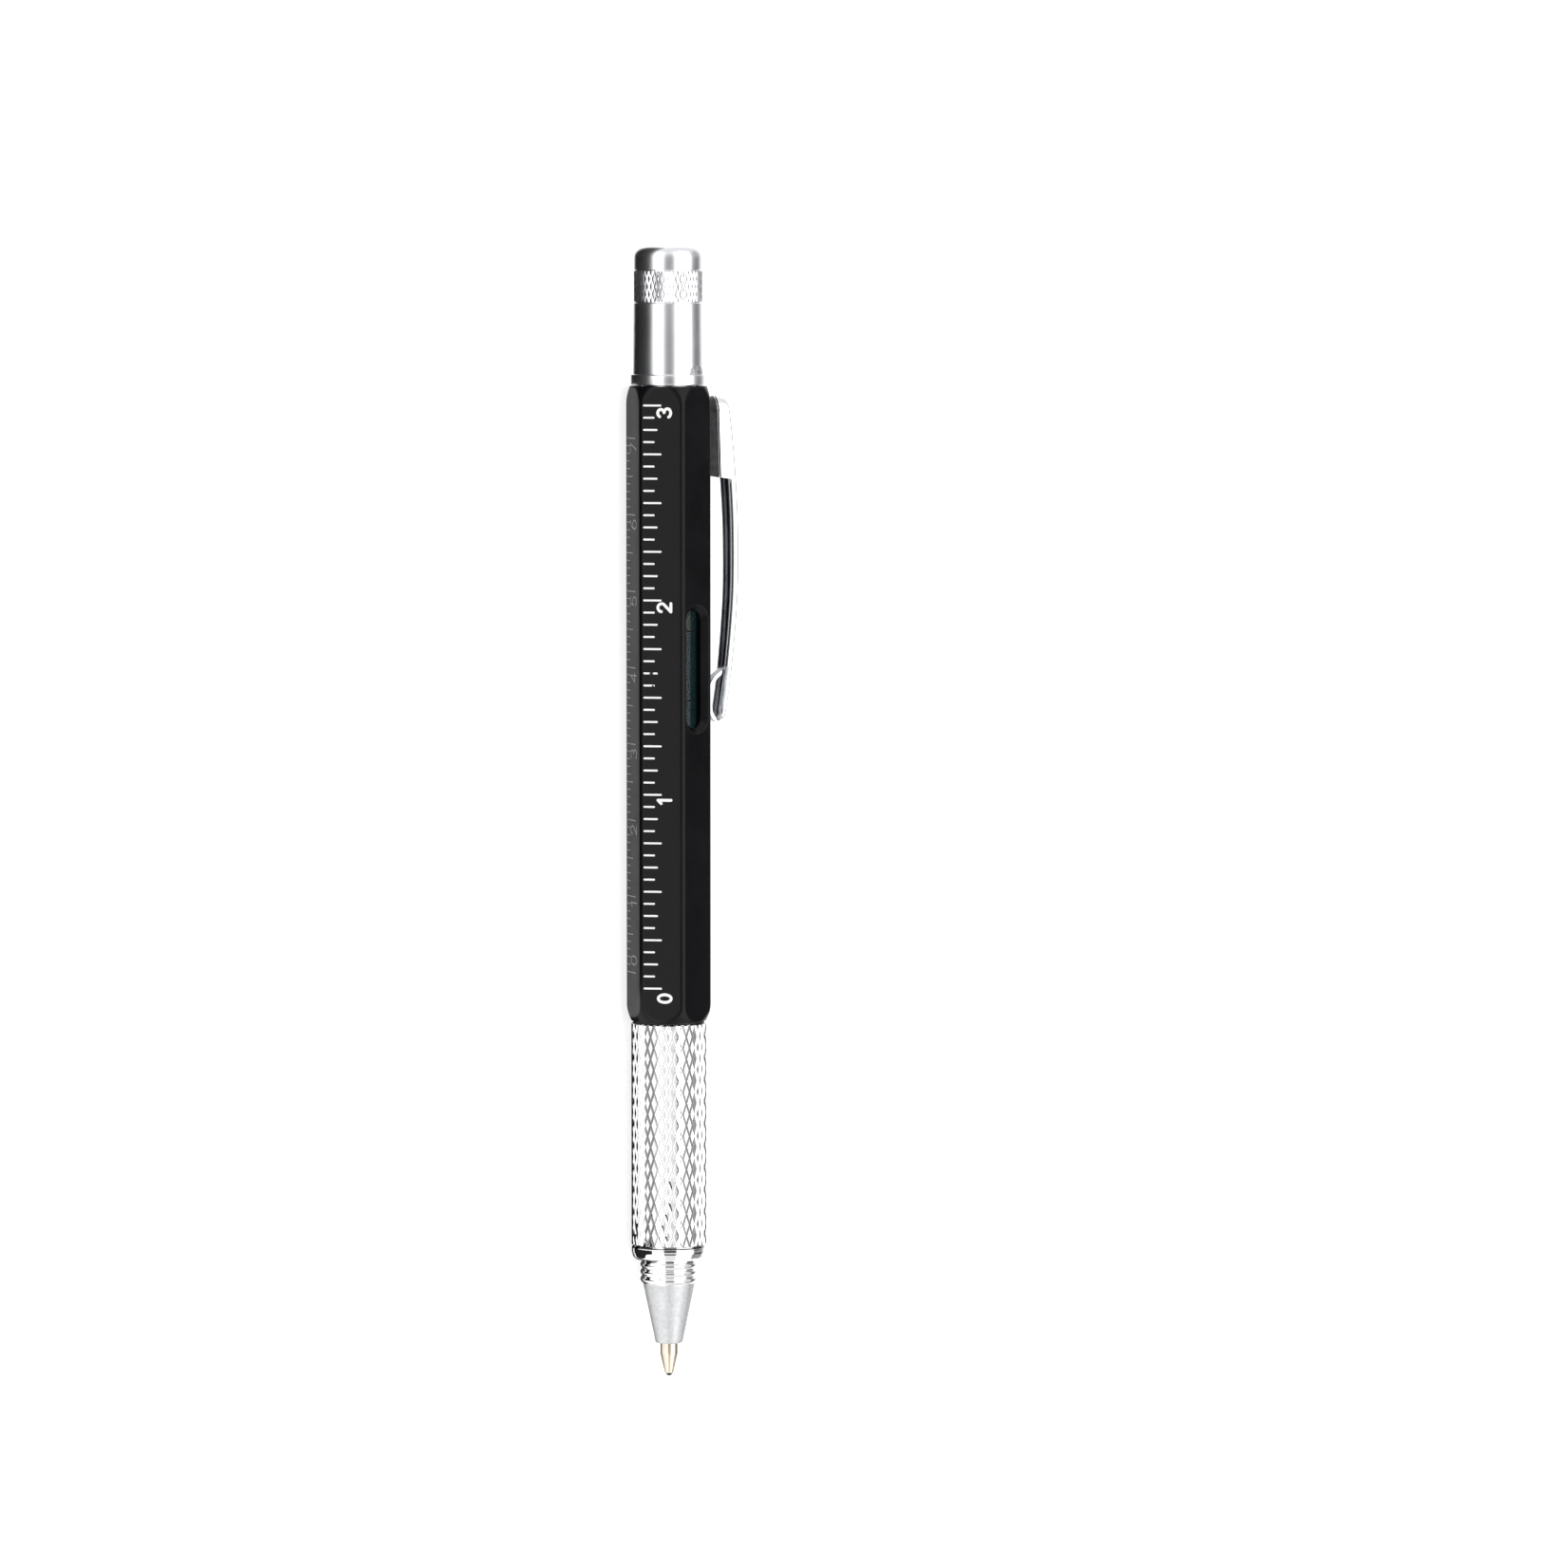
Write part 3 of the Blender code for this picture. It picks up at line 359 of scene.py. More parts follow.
def roundedCurve(tree, curve, radius):
    return addNode(
        tree, "GeometryNodeFilletCurve", {"mode": "POLY"}, Curve=curve, Radius=radius, Count=3
    )


def runTree(name, tree, core=None, **values):
    # the tree's result as a plain mesh; inputs are set by their identifiers
    holder = linkObject(name, core or bpy.data.meshes.new(name))
    step = addModifier(holder, "NODES", node_group=tree)
    for item in tree.interface.items_tree:
        if item.in_out == "INPUT" and camel(item.name) in values:
            step[item.identifier] = values[camel(item.name)]
    return evaluatedMesh(holder)


# Material helpers

def newFinish(name, colour, roughness, metallic=0.0, **sockets):
    finish = bpy.data.materials.new(name)
    finish.use_nodes = True
    finish.diffuse_color = (*colour, 1)
    shader = finish.node_tree.nodes["Principled BSDF"]
    setSockets(shader, {
        "BaseColor": (*colour, 1), "Roughness": roughness, "Metallic": metallic, **sockets,
    })
    return finish, finish.node_tree, shader


def addNoise(tree, size, detail=3.0, stretch=(1, 1, 1)):
    # noise over the piece's own coordinates, with features of about the given size
    place = addNode(tree, "ShaderNodeTexCoord", out="Object")
    place = addNode(tree, "ShaderNodeMapping", Vector=place, Scale=stretch)
    return addNode(
        tree, "ShaderNodeTexNoise", out="Fac", Vector=place, Scale=1 / size, Detail=detail,
        Roughness=noiseRoughness,
    )


def ranged(value, first, second, start=0.3, end=0.7):
    return addNode(
        value.tree, "ShaderNodeMapRange", Value=value, FromMin=start, FromMax=end,
        ToMin=first, ToMax=second,
    )


def mixColour(share, first, second):
    mix = addNode(share.tree, "ShaderNodeMix", {"data_type": "RGBA"}, out=2)
    for index, value in ((0, share), (6, first), (7, second)):
        plug((*value, 1) if isinstance(value, tuple) else value, mix.socket.node.inputs[index])
    return mix


def bumped(height, depth):
    return addNode(height.tree, "ShaderNodeBump", Height=height, Distance=depth)


def scaled(colour, share):
    return tuple(part * share for part in colour)


def variedFinish(name, colour, roughness, metallic=0.0, spread=0.08, grain=0.25 * mm, patch=6 * mm,
                 bump=0.003 * mm, stretch=(1, 1, 1), wander=0.2, **sockets):
    # colour and roughness wander over patches, and a fine grain lifts the surface
    finish, tree, shader = newFinish(name, colour, roughness, metallic, **sockets)
    patches, fine = addNoise(tree, patch), addNoise(tree, grain, 4.0, stretch)
    dark, pale = scaled(colour, 1 - spread), scaled(colour, 1 + spread)
    both = patches * 0.6 + fine * 0.4
    setSockets(shader, {
        "BaseColor": mixColour(ranged(patches, 0, 1), dark, pale),
        "Roughness": ranged(both, roughness * (1 - wander), roughness * (1 + wander)),
        "Normal": bumped(fine, bump),
    })
    return finish


# Finishes

finishes = {
    "paint": variedFinish(
        "matte_black_paint", (0.0034, 0.0033, 0.0042), 0.32, spread=0.2,
        grain=0.16 * mm, bump=0.002 * mm, SpecularIORLevel=0.14,
    ),
    "clipChrome": variedFinish(
        "sheet_chrome", (0.80, 0.80, 0.80), 0.085, 1.0, spread=0.02,
        grain=2.2 * mm, bump=0.004 * mm, stretch=(0.35, 1, 1),
    ),
    # painted shade: the clip's underside is a darker copy of the chrome
    "clipInside": variedFinish(
        "sheet_underside", (0.20, 0.215, 0.235), 0.30, 1.0, spread=0.25, patch=3 * mm,
        grain=0.5 * mm, bump=0.006 * mm, stretch=(0.2, 1, 1),
    ),
    # painted shade: the free end is a mid-grey copy of the chrome, lighter than the underside
    "clipEnd": variedFinish(
        "sheet_end", (0.46, 0.475, 0.49), 0.32, 1.0, spread=0.3, patch=2.5 * mm,
        grain=0.4 * mm, bump=0.008 * mm, stretch=(0.2, 1, 1),
    ),
    # painted shade: the foot's low wall and rim are a near-black copy of the sheet
    "clipFoot": variedFinish(
        "blackened_foot", (0.020, 0.018, 0.020), 0.34, spread=0.4, patch=0.8 * mm,
        grain=0.25 * mm, bump=0.02 * mm, stretch=(0.4, 1, 1), SpecularIORLevel=0.45,
    ),
    "satin": variedFinish(
        "satin_plating", (0.76, 0.765, 0.785), 0.30, 1.0, spread=0.02, grain=0.12 * mm,
        bump=0.0012 * mm, wander=0.10,
    ),
    "gate": variedFinish(
        "torn_gate", (0.46, 0.46, 0.48), 0.42, 1.0, spread=0.5, patch=0.35 * mm,
        grain=0.22 * mm, bump=0.03 * mm,
    ),
    "nickel": variedFinish(
        "nickel_silver", (0.60, 0.53, 0.43), 0.33, 1.0, spread=0.06,
        grain=0.12 * mm, bump=0.001 * mm, stretch=(6, 1, 1),
    ),
    "ball": variedFinish(
        "ball_carbide", (0.035, 0.033, 0.032), 0.25, 1.0, grain=0.2 * mm, bump=0.0005 * mm,
    ),
    "rubber": variedFinish(
        "washer_fibre", (0.014, 0.014, 0.015), 0.6, grain=0.2 * mm, bump=0.01 * mm,
    ),
    "brass": variedFinish(
        "turned_brass", (0.72, 0.53, 0.26), 0.28, 1.0, spread=0.06,
        grain=0.10 * mm, bump=0.002 * mm, stretch=(8, 1, 1),
    ),
    "clear": variedFinish(
        "clear_acrylic", (0.010, 0.024, 0.026), 0.14, grain=2.5 * mm, bump=0.0002 * mm,
        spread=0.05, Alpha=0.20,
    ),
    "spirit": variedFinish(
        "green_spirit", (0.007, 0.040, 0.047), 0.40, spread=0.22, patch=3 * mm,
        grain=1.5 * mm, bump=0.0002 * mm, SpecularIORLevel=0.15, Alpha=0.36,
    ),
    # painted highlight: the bubble is given an amber colour for the light that shows through it
    "air": variedFinish(
        "bubble", (0.20, 0.165, 0.050), 0.22, spread=0.35, patch=1.5 * mm,
        grain=1.0 * mm, bump=0.0005 * mm, SpecularIORLevel=0.5,
    ),
    "blackPlastic": variedFinish("moulded_black", (0.012, 0.012, 0.013), 0.5, grain=0.3 * mm),
    "whitePlastic": variedFinish(
        "moulded_white", (0.74, 0.74, 0.71), 0.38, spread=0.03, grain=0.4 * mm,
    ),
    "steel": variedFinish(
        "tool_steel", (0.42, 0.42, 0.43), 0.3, 1.0, spread=0.07, grain=0.12 * mm,
        bump=0.003 * mm, stretch=(0.2, 1, 1),
    ),
    "ink": variedFinish("blue_ink", (0.010, 0.020, 0.120), 0.25, grain=0.5 * mm),
    "ring": variedFinish(
        "printed_ring", (0.003, 0.003, 0.004), 0.6, grain=0.2 * mm, SpecularIORLevel=0.1,
    ),
}

# Printed scales: worn a little at two places on the inch side
printStyle = Style(
    inks={"print": (0.86, 0.86, 0.85), "finePrint": (0.30, 0.30, 0.31)},
    under=(0.012, 0.012, 0.014),
    wear=((18.35, -1.39, 0.26), (16.73, -1.18, 0.13)),  # station, place across, size, in mm
    wearEdges=(0.7, 1.3),  # where a worn place is bare and whole, in sizes
    grain=0.10 * mm, patch=1.4 * mm, patchShare=0.35,
    bareFrom=0.84, bareMost=0.45, roughness=(0.42, 0.6), bump=0.004 * mm,
)


def printFinish(name, ink):
    finish, tree, shader = newFinish(name, ink, 0.5, SpecularIORLevel=0.3)
    style = printStyle
    fine, broad = addNoise(tree, style.grain, 4.0), addNoise(tree, style.patch, 2.0)
    place = addNode(tree, "ShaderNodeTexCoord", out="Object")
    bare = ranged(fine + broad * style.patchShare, 0, style.bareMost, style.bareFrom, 1.0)
    first, last = style.wearEdges
    for station, across, size in style.wear:
        away = addNode(tree, "ShaderNodeVectorMath", {"operation": "DISTANCE"}, "Value", Vector=place)
        middle = faceMatrix("inch") @ Vector((station * mm, -across * mm, 0))
        away.socket.node.inputs[1].default_value = middle
        bare = addMath("MAXIMUM", bare, ranged(away, 1, 0, size * first * mm, size * last * mm))
    setSockets(shader, {
        "BaseColor": mixColour(bare, ink, style.under), "Roughness": ranged(fine, *style.roughness),
        "Normal": bumped(fine, style.bump),
    })
    return finish


for label, ink in printStyle.inks.items():
    finishes[label] = printFinish("white_" + label, ink)
print("finishes", len(finishes))

# Barrel

barrel = Style(
    flatSteps=40, cornerSteps=12, cornerRounding=0.80 * mm, bore=3.85 * mm, mouthBevel=0.25 * mm,
    # the turned ends: grip end, cap end
    endRadii=(4.98 * mm, 5.10 * mm), turnLengths=(2.7 * mm, 3.1 * mm),
    turnPower=1.7, turnSteps=32, archBlend=0.16 * mm, endRounding=0.16 * mm, endSteps=4,
    windowCentre=18.78 * mm, windowLength=16.9 * mm, windowWidth=4.55 * mm, windowSteps=20,
    windowBevel=0.74 * mm, windowBevelDepth=0.72 * mm, windowLip=0.08 * mm,
)


def hexRays():
    # (angle, radius) round a hexagon with a flat facing x and rounded corners
    rounding, slant, rays = barrel.cornerRounding, math.radians(30), []
    flatHalf = (halfFlat - rounding) * math.tan(slant)
    corner = (halfFlat - rounding) / math.cos(slant)
    for side in range(6):
        points = [
            (halfFlat, flatHalf * (2 * step / barrel.flatSteps - 1)) for step in range(barrel.flatSteps)
        ]
        for step in range(barrel.cornerSteps):
            turn = math.radians(60 * step / barrel.cornerSteps)
            points.append((
                corner * math.cos(slant) + rounding * math.cos(turn),
                corner * math.sin(slant) + rounding * math.sin(turn),
            ))
        rays += [(math.atan2(y, x) + math.radians(60 * side), math.hypot(x, y)) for x, y in points]
    return rays


def barSkin():
    # the corners of the bar are turned down at both ends, which leaves an arch on each flat
    rays, blend, rounding = hexRays(), barrel.archBlend, barrel.endRounding
    reach = max(radius for angle, radius in rays) + blend
    rows = []  # station, turned radius, drop at the end's edge
    ends = zip((barrelStart, barrelEnd), (1, -1), barrel.endRadii, barrel.turnLengths)
    for end, side, base, length in ends:
        rowsHere = []
        for step in range(barrel.endSteps):
            turn = math.pi / 2 * step / barrel.endSteps
            station = end + side * rounding * (1 - math.cos(turn))
            rowsHere.append((station, base, rounding * (1 - math.sin(turn))))
        for step in range(barrel.turnSteps + 1):
            share = step / barrel.turnSteps
            station = end + side * (rounding + (length - rounding) * share)
            rowsHere.append((station, base + (reach - base) * (1 - (1 - share) ** barrel.turnPower), 0))
        rows += rowsHere[::side]
    shape = bmesh.new()
    rings = []
    for station, turned, drop in rows:
        ring = []
        for angle, radius in rays:
            overlap = max(0, blend - abs(radius - turned))
            away = min(radius, turned) - overlap ** 2 / (4 * blend) - drop
            ring.append(shape.verts.new((away * math.cos(angle), away * math.sin(angle), station)))
        rings.append(ring)
    bridge(shape, rings)
    for ring in (rings[0], rings[-1]):
        shape.faces.new(ring)
    return meshFrom("bar_skin", shape)


def stadium(width, length, height):
    radius, ring = width / 2, []
    for side in (1, -1):
        for step in range(barrel.windowSteps + 1):
            angle = math.pi * step / barrel.windowSteps
            away = length / 2 - radius + radius * math.sin(angle)
            ring.append((height, side * radius * math.cos(angle), barrel.windowCentre + side * away))
    return ring


def windowTool():
    bevel, depth, lip = barrel.windowBevel, barrel.windowBevelDepth, barrel.windowLip
    steps = (  # spread beyond the opening, height over the flat
        (bevel + 1.7 * lip, 2.0 * mm), (bevel + 1.7 * lip, 0.15 * lip),
        (bevel + 0.35 * lip, -0.15 * lip), (bevel - 0.45 * lip, -0.75 * lip),
        (bevel - 0.95 * lip, -1.45 * lip),
        (0.85 * lip, -depth + 0.95 * lip), (0.25 * lip, -depth + 0.10 * lip),
        (0, -depth - 0.9 * lip), (0, -2.4 * mm),
    )
    wide, long = barrel.windowWidth - 2 * bevel, barrel.windowLength - 2 * bevel
    shape = bmesh.new()
    rings = []
    for spread, height in steps:
        ring = stadium(wide + 2 * spread, long + 2 * spread, halfFlat + height)
        rings.append([shape.verts.new(point) for point in ring])
    return shellMesh("window_tool", shape, rings)


clip = Style(
    length=43.1 * mm, rise=4.30 * mm, width=4.10 * mm, endWidth=3.25 * mm,
    sheet=0.45 * mm, edge=0.36 * mm, edgeSteps=6, seatGap=0.22 * mm,
    draft=0.24 * mm, tuck=0.44 * mm, armTuck=0.16 * mm, endPlace=36.0 * mm,
    ledges=(1.30 * mm, 1.66 * mm),  # above the flat, at the head and at the foot's end
    toeLength=1.2 * mm, toeStep=0.15 * mm, stepBlend=0.4 * mm,
    footLength=10.6 * mm, footBlend=0.5 * mm, armDepth=1.12 * mm,
    endRound=1.3 * mm, tongueWidth=2.1 * mm, fromBarrelEnd=1.12 * mm,
    tabLength=5.0 * mm, tabStart=3.8 * mm, tabDepth=1.15 * mm, tabGap=0.15 * mm, tabRise=0.5 * mm,
    slotDepth=4.2 * mm, slotSpare=0.6 * mm,
    # shares of the sheet: a tab's thickness and place, the tongue's thickness
    tabSheet=0.55, tabInset=0.35, tongueSheet=0.87,
    # the blend to the bending clip: its start as a share of the foot, and its length
    blendStart=0.8, blendLength=14 * mm,
    # height of the outer face along the clip, and the tongue's middle line, both as shares
    profile=(
        (0.00, 0.62), (0.07, 0.74), (0.18, 0.86), (0.30, 0.95), (0.42, 1.00),
        (0.58, 1.00), (0.70, 0.93), (0.82, 0.82), (0.92, 0.69), (1.00, 0.55),
    ),
    tongue=(
        (0.993, 0.46), (0.990, 0.30), (0.972, 0.17), (0.945, 0.115), (0.915, 0.105),
        (0.885, 0.16), (0.862, 0.30), (0.845, 0.50), (0.832, 0.66),
    ),
    # the chrome, then its painted-shade copies for the underside, the foot and the free end
    finishes=("clipChrome", "clipInside", "clipFoot", "clipEnd"),
)
clipMatrix = penMatrix @ turnMatrix(faceTurn["clip"])
clipMatrix = clipMatrix @ moveMatrix(halfFlat, 0, barrelEnd - clip.fromBarrelEnd)


def smoothLine(table, count):
    points = [Vector(pair) for pair in table]
    points = [2 * points[0] - points[1]] + points + [2 * points[-1] - points[-2]]
    line = []
    for index in range(1, len(points) - 2):
        before, start, end, after = points[index - 1:index + 3]
        for step in range(count):
            t = step / count
            line.append(
                (2 * start + (end - before) * t
                 + (2 * before - 5 * start + 4 * end - after) * t ** 2
                 + (3 * start - before - 3 * end + after) * t ** 3) / 2
            )
    line.append(points[-2])
    return line


def smoothStep(value):
    value = min(max(value, 0), 1)
    return value * value * (3 - 2 * value)


clipLine = smoothLine(clip.profile, 12)


def clipHalfWidth(place):
    return (clip.width + (clip.endWidth - clip.width) * place / clip.length) / 2


def clipHeight(place):
    share = place / clip.length
    for first, second in zip(clipLine, clipLine[1:]):
        if share <= second.x:
            part = (share - first.x) / (second.x - first.x)
            return clip.rise * (first.y + (second.y - first.y) * part)
    return clip.rise * clipLine[-1].y


def onArm(place):
    # 0 on the foot, 1 on the arm
    return smoothStep((place - clip.footLength) / clip.footBlend)


def clipWallFoot(place):
    toe = clip.toeStep * (1 - smoothStep((place - clip.toeLength) / clip.stepBlend + 0.5))
    foot = clip.seatGap + toe
    return foot + (clipHeight(place) - clip.armDepth - foot) * onArm(place)


def clipPlaces():
    # stations along the clip, closer where its plan is round or its foot steps
    head, endStart = clip.width / 2, clip.length - clip.endRound
    footEnd, toeEnd = clip.footLength + clip.footBlend, clip.toeLength + clip.stepBlend * 0.6
    bends = [1 - math.cos(math.radians(6 * step)) for step in range(16)]
    places = [head * bend for bend in bends]
    places += [clip.toeLength + clip.stepBlend * (step / 6 - 0.5) for step in range(7)]
    places += [clip.footLength + clip.footBlend * step / 10 for step in range(11)]
    places += [toeEnd + (clip.footLength - toeEnd) * step / 10 for step in range(1, 10)]
    places += [footEnd + (endStart - footEnd) * step / 40 for step in range(1, 40)]
    places += [clip.length - clip.endRound * bend for bend in bends[::-1]]
    return sorted(places)


def clipOutline(tuckShare, inset):
    # the wall's lower edge is set in, more on the foot than on the arm
    head, length, endRound = clip.width / 2, clip.length, clip.endRound
    outline = []
    for place in clipPlaces():
        half = clipHalfWidth(place)
        away = inset + tuckShare * (clip.tuck + (clip.armTuck - clip.tuck) * onArm(place))
        if place < head:
            across = math.sqrt(max(0, 1 - ((head - place) / head) ** 2))
            outline.append((head - (head - place) * (head - away) / head, across * (half - away)))
        elif place > length - endRound:
            past, corner = (place - length + endRound) / endRound, endRound - away
            across = half - endRound + corner * math.sqrt(max(0, 1 - past ** 2))
            outline.append((length - endRound + corner * past, across))
        else:
            outline.append((place, half - away))
    return outline


def clipLevels():
    # (share of the tuck, inset, height rule) for the outer skin and the inner one, from the foot up
    edge, depth, draft, sheet = clip.edge, clip.armDepth, clip.draft, clip.sheet
    firstLedge, lastLedge = clip.ledges

    def byLedge(rise, spare):
        def rule(place):
            ledge = firstLedge + (lastLedge - firstLedge) * min(place / clip.footLength, 1)
            return max(ledge + rise, clipWallFoot(place) + spare)
        return rule

    def byFace(drop, spare):
        # a drop below the outer face, but never under the wall's own foot
        return lambda place: max(clipHeight(place) - drop, clipWallFoot(place) + spare)

    outer = [(1, 0, clipWallFoot)]
    outer += [(share, 0, byLedge(rise * mm, spare * mm)) for share, rise, spare in (
        (0.50, -0.15, 0.010), (0.42, -0.09, 0.025), (0.26, -0.04, 0.04), (0.08, 0.01, 0.06),
        (0, 0.11, 0.12),
    )]
    outer.append((0, draft * 0.5, byFace((depth + edge) / 2, 0.20 * mm)))
    outer.append((0, draft, byFace(edge, 0.26 * mm)))
    for step in range(1, clip.edgeSteps + 1):
        angle = math.pi / 2 * step / clip.edgeSteps
        drop = edge * (1 - math.sin(angle))
        outer.append((0, draft + edge * (1 - math.cos(angle)), byFace(drop, 0.27 * mm)))
    inner = [
        (1, sheet * 0.65, clipWallFoot), (0.6, sheet * 0.80, byFace(depth - 0.15 * mm, 0.06 * mm)),
        (0.3, draft + sheet * 0.80, byFace(sheet + 0.30 * mm, 0.08 * mm)),
        (0.3, draft + sheet * 0.90, byFace(sheet + 0.10 * mm, 0.10 * mm)),
        (0.3, draft + sheet * 1.20, byFace(sheet, 0.12 * mm)),
    ]
    return outer, inner


def clipShell():
    # the plan runs round both ends; the skins meet at the walls' foot and close in a roof each
    shape = bmesh.new()
    footEnd = clip.footLength + clip.footBlend
    chrome, inside, foot, endShade = range(4)  # places in clip.finishes
    sideLevels = 7  # levels up to the edge's rounding

    def makeRing(tuckShare, inset, rule):
        left, right = [], []
        for index, (place, half) in enumerate(clipOutline(tuckShare, inset)):
            left.append(shape.verts.new((rule(place), half, -place)))
            right.append(shape.verts.new((rule(place), -half, -place)) if index else left[0])
        return left, right

    def addFace(corners, finish, footFinish=None):
        face = shape.faces.new(corners)
        place = -face.calc_center_median().z
        face.material_index = finish
        # painted shade: the foot takes the near-black finish, and past clip.endPlace the walls and
        # underside take the mid-grey one
        if footFinish is not None and place < footEnd:
            face.material_index = footFinish
        elif (finish == inside or footFinish is not None) and place > clip.endPlace:
            face.material_index = endShade

    skins = [[makeRing(*level) for level in skin] for skin in clipLevels()]
    strips = []
    for index, pair in enumerate(zip(skins[0], skins[0][1:])):
        footFinish = foot if index == 0 else chrome if index < sideLevels else None
        strips.append((pair, chrome, footFinish))
    strips += [(pair, inside, inside) for pair in zip(skins[1], skins[1][1:])]
    strips.append(((skins[0][0], skins[1][0]), inside, foot))
    for ((left, right), (nextLeft, nextRight)), finish, footFinish in strips:
        for index in range(len(left) - 1):
            after = index + 1
            for corners in (
                (left[index], left[after], nextLeft[after], nextLeft[index]),
                (right[after], right[index], nextRight[index], nextRight[after]),
            ):
                addFace(corners, finish, footFinish)
        addFace((left[-1], right[-1], nextRight[-1], nextLeft[-1]), finish)
    for finish, skin in enumerate(skins):
        left, right = skin[-1]
        addFace((left[0], left[1], right[1]), finish)
        for index in range(1, len(left) - 1):
            addFace((left[index], left[index + 1], right[index + 1], right[index]), finish)
    return withFinishes(meshFrom("clip_shell", shape))


def withFinishes(mesh):
    for name in clip.finishes:
        mesh.materials.append(finishes[name])
    return mesh


def clipTongueMesh():
    # the free end's sheet curls under toward the barrel
    shape = bmesh.new()
    half = clip.tongueWidth / 2
    bridge(shape, [
        [
            shape.verts.new((share.y * clip.rise, half * part, -share.x * clip.length))
            for part in (1, 0.5, 0, -0.5, -1)
        ]
        for share in smoothLine(clip.tongue, 8)
    ], closed=False)
    for face in shape.faces:
        # the tongue takes the underside's painted shade
        face.material_index = 1
    holder = linkObject("clip_tongue", withFinishes(meshFrom("clip_tongue", shape, clean=False)))
    thickness = clip.sheet * clip.tongueSheet
    addModifier(holder, "SOLIDIFY", thickness=thickness, offset=0, material_offset_rim=-1)
    return evaluatedMesh(holder)


def tabPlace(side):
    middle = clip.tabStart + clip.tabLength / 2
    return middle, side * (clipHalfWidth(middle) - clip.tuck - clip.sheet * clip.tabInset)


def tabSlotTool(side):
    middle, across = tabPlace(side)
    size = (clip.slotDepth, clip.sheet + 2 * clip.tabGap, clip.tabLength + clip.slotSpare)
    place = penMatrix.inverted() @ clipMatrix @ moveMatrix(0, across, -middle)
    return boxMesh("tab_slot", size, place)


def makeBarrel():
    radius, bevel, past = barrel.bore, barrel.mouthBevel, 1 * mm
    bore = turnedMesh("barrel_bore", [
        (0, barrelStart - past), (radius + bevel + past, barrelStart - past),
        (radius, barrelStart + bevel), (radius, barrelEnd - bevel),
        (radius + bevel + past, barrelEnd + past), (0, barrelEnd + past),
    ], 96)
    tools = (bore, windowTool(), tabSlotTool(1), tabSlotTool(-1))
    mesh = cutMesh("barrel_body", barSkin(), [(tool, "DIFFERENCE") for tool in tools])
    finishPiece("barrel_tube", mesh, finishes["paint"], "barrel", ["barrel"], sharp=28)


makeBarrel()

# Printed scales

scales = Style(
    # the ink's depth and rise at the flat; crossing strokes lie a step over each other
    depth=0.010 * mm, rise=0.012 * mm, step=0.002 * mm, wide=1.30 * mm, gap=0.60 * mm,
    inch=Style(
        zero=-22.92 * mm, unit=25.4 * mm, numbers=4, ink="print",
        ticks=Style(
            count=49, pitch=25.4 * mm / 16, majorEvery=4, middleEvery=2,
            edge=2.45 * mm,  # where the ticks start, from the flat's middle
            long=2.43 * mm, middle=1.91 * mm, short=1.52 * mm, thickness=0.25 * mm,
        ),
        stroke=0.38 * mm, tall=2.10 * mm, top=0.70 * mm,
        wides={0: 1.38 * mm, 1: 0.92 * mm, 2: 1.46 * mm, 3: 1.44 * mm},
        gaps={0: 0.60 * mm, 1: 0.40 * mm, 2: 0.20 * mm, 3: 0.22 * mm},
    ),
    cm=Style(
        zero=-21.08 * mm, unit=10.0 * mm, numbers=8, ink="finePrint",
        ticks=Style(
            count=71, pitch=1.0 * mm, majorEvery=10, middleEvery=5,
            edge=2.40 * mm, long=3.40 * mm, middle=2.40 * mm, short=1.42 * mm, thickness=0.14 * mm,
        ),
        stroke=0.17 * mm, tall=2.38 * mm, top=0.90 * mm, wides={1: 0.80 * mm}, gaps={0: -2.28 * mm},
    ),
)


def tickTree():
    tree, given = newTree(
        "scaleTicks", Int=("Count", "Major Every", "Middle Every"),
        Float=("Pitch", "Long", "Middle", "Short", "Thickness", "Edge", "Depth", "Rise"),
        Material=("Ink",),
    )
    line = addNode(tree, "GeometryNodeMeshLine", Count=given.count, Offset=addVector(tree, given.pitch))
    index = addNode(tree, "GeometryNodeInputIndex")
    onMajor, onMiddle = (
        addMath("COMPARE", addMath("MODULO", index, every), 0.0, 0.1)
        for every in (given.majorEvery, given.middleEvery)
    )
    middleOnly = onMiddle * (1.0 - onMajor)
    ticks = []
    for length, chosen in (
        (given.long, onMajor), (given.middle, middleOnly), (given.short, 1.0 - onMajor - middleOnly),
    ):
        outline = addNode(
            tree, "GeometryNodeCurvePrimitiveQuadrilateral", Width=given.thickness, Height=length
        )
        rounded = roundedCurve(tree, outline, given.thickness * 0.48)
        plate = addNode(tree, "GeometryNodeFillCurve", Curve=rounded)
        wall = addNode(
            tree, "GeometryNodeExtrudeMesh", Mesh=plate, OffsetScale=given.depth + given.rise,
            Individual=False,
        )
        back = addNode(tree, "GeometryNodeFlipFaces", Mesh=plate)
        weld = addNode(
            tree, "GeometryNodeMergeByDistance", Geometry=joinParts(tree, (wall, back)), Distance=weldGap
        )
        shift = addVector(tree, 0.0, given.edge - length * 0.5, given.depth * -1.0)
        placed = addNode(tree, "GeometryNodeTransform", Geometry=weld, Translation=shift)
        ticks.append(addNode(
            tree, "GeometryNodeInstanceOnPoints", Points=line, Selection=chosen, Instance=placed
        ))
    return closeTree(tree, ticks, given.ink)


def bow(across, up, wide, tall, start, end, count=16):
    # part of an ellipse, in degrees, as points of a stroke
    turns = [math.radians(start + (end - start) * step / count) for step in range(count + 1)]
    return [(across + wide * math.cos(turn), up + tall * math.sin(turn)) for turn in turns]


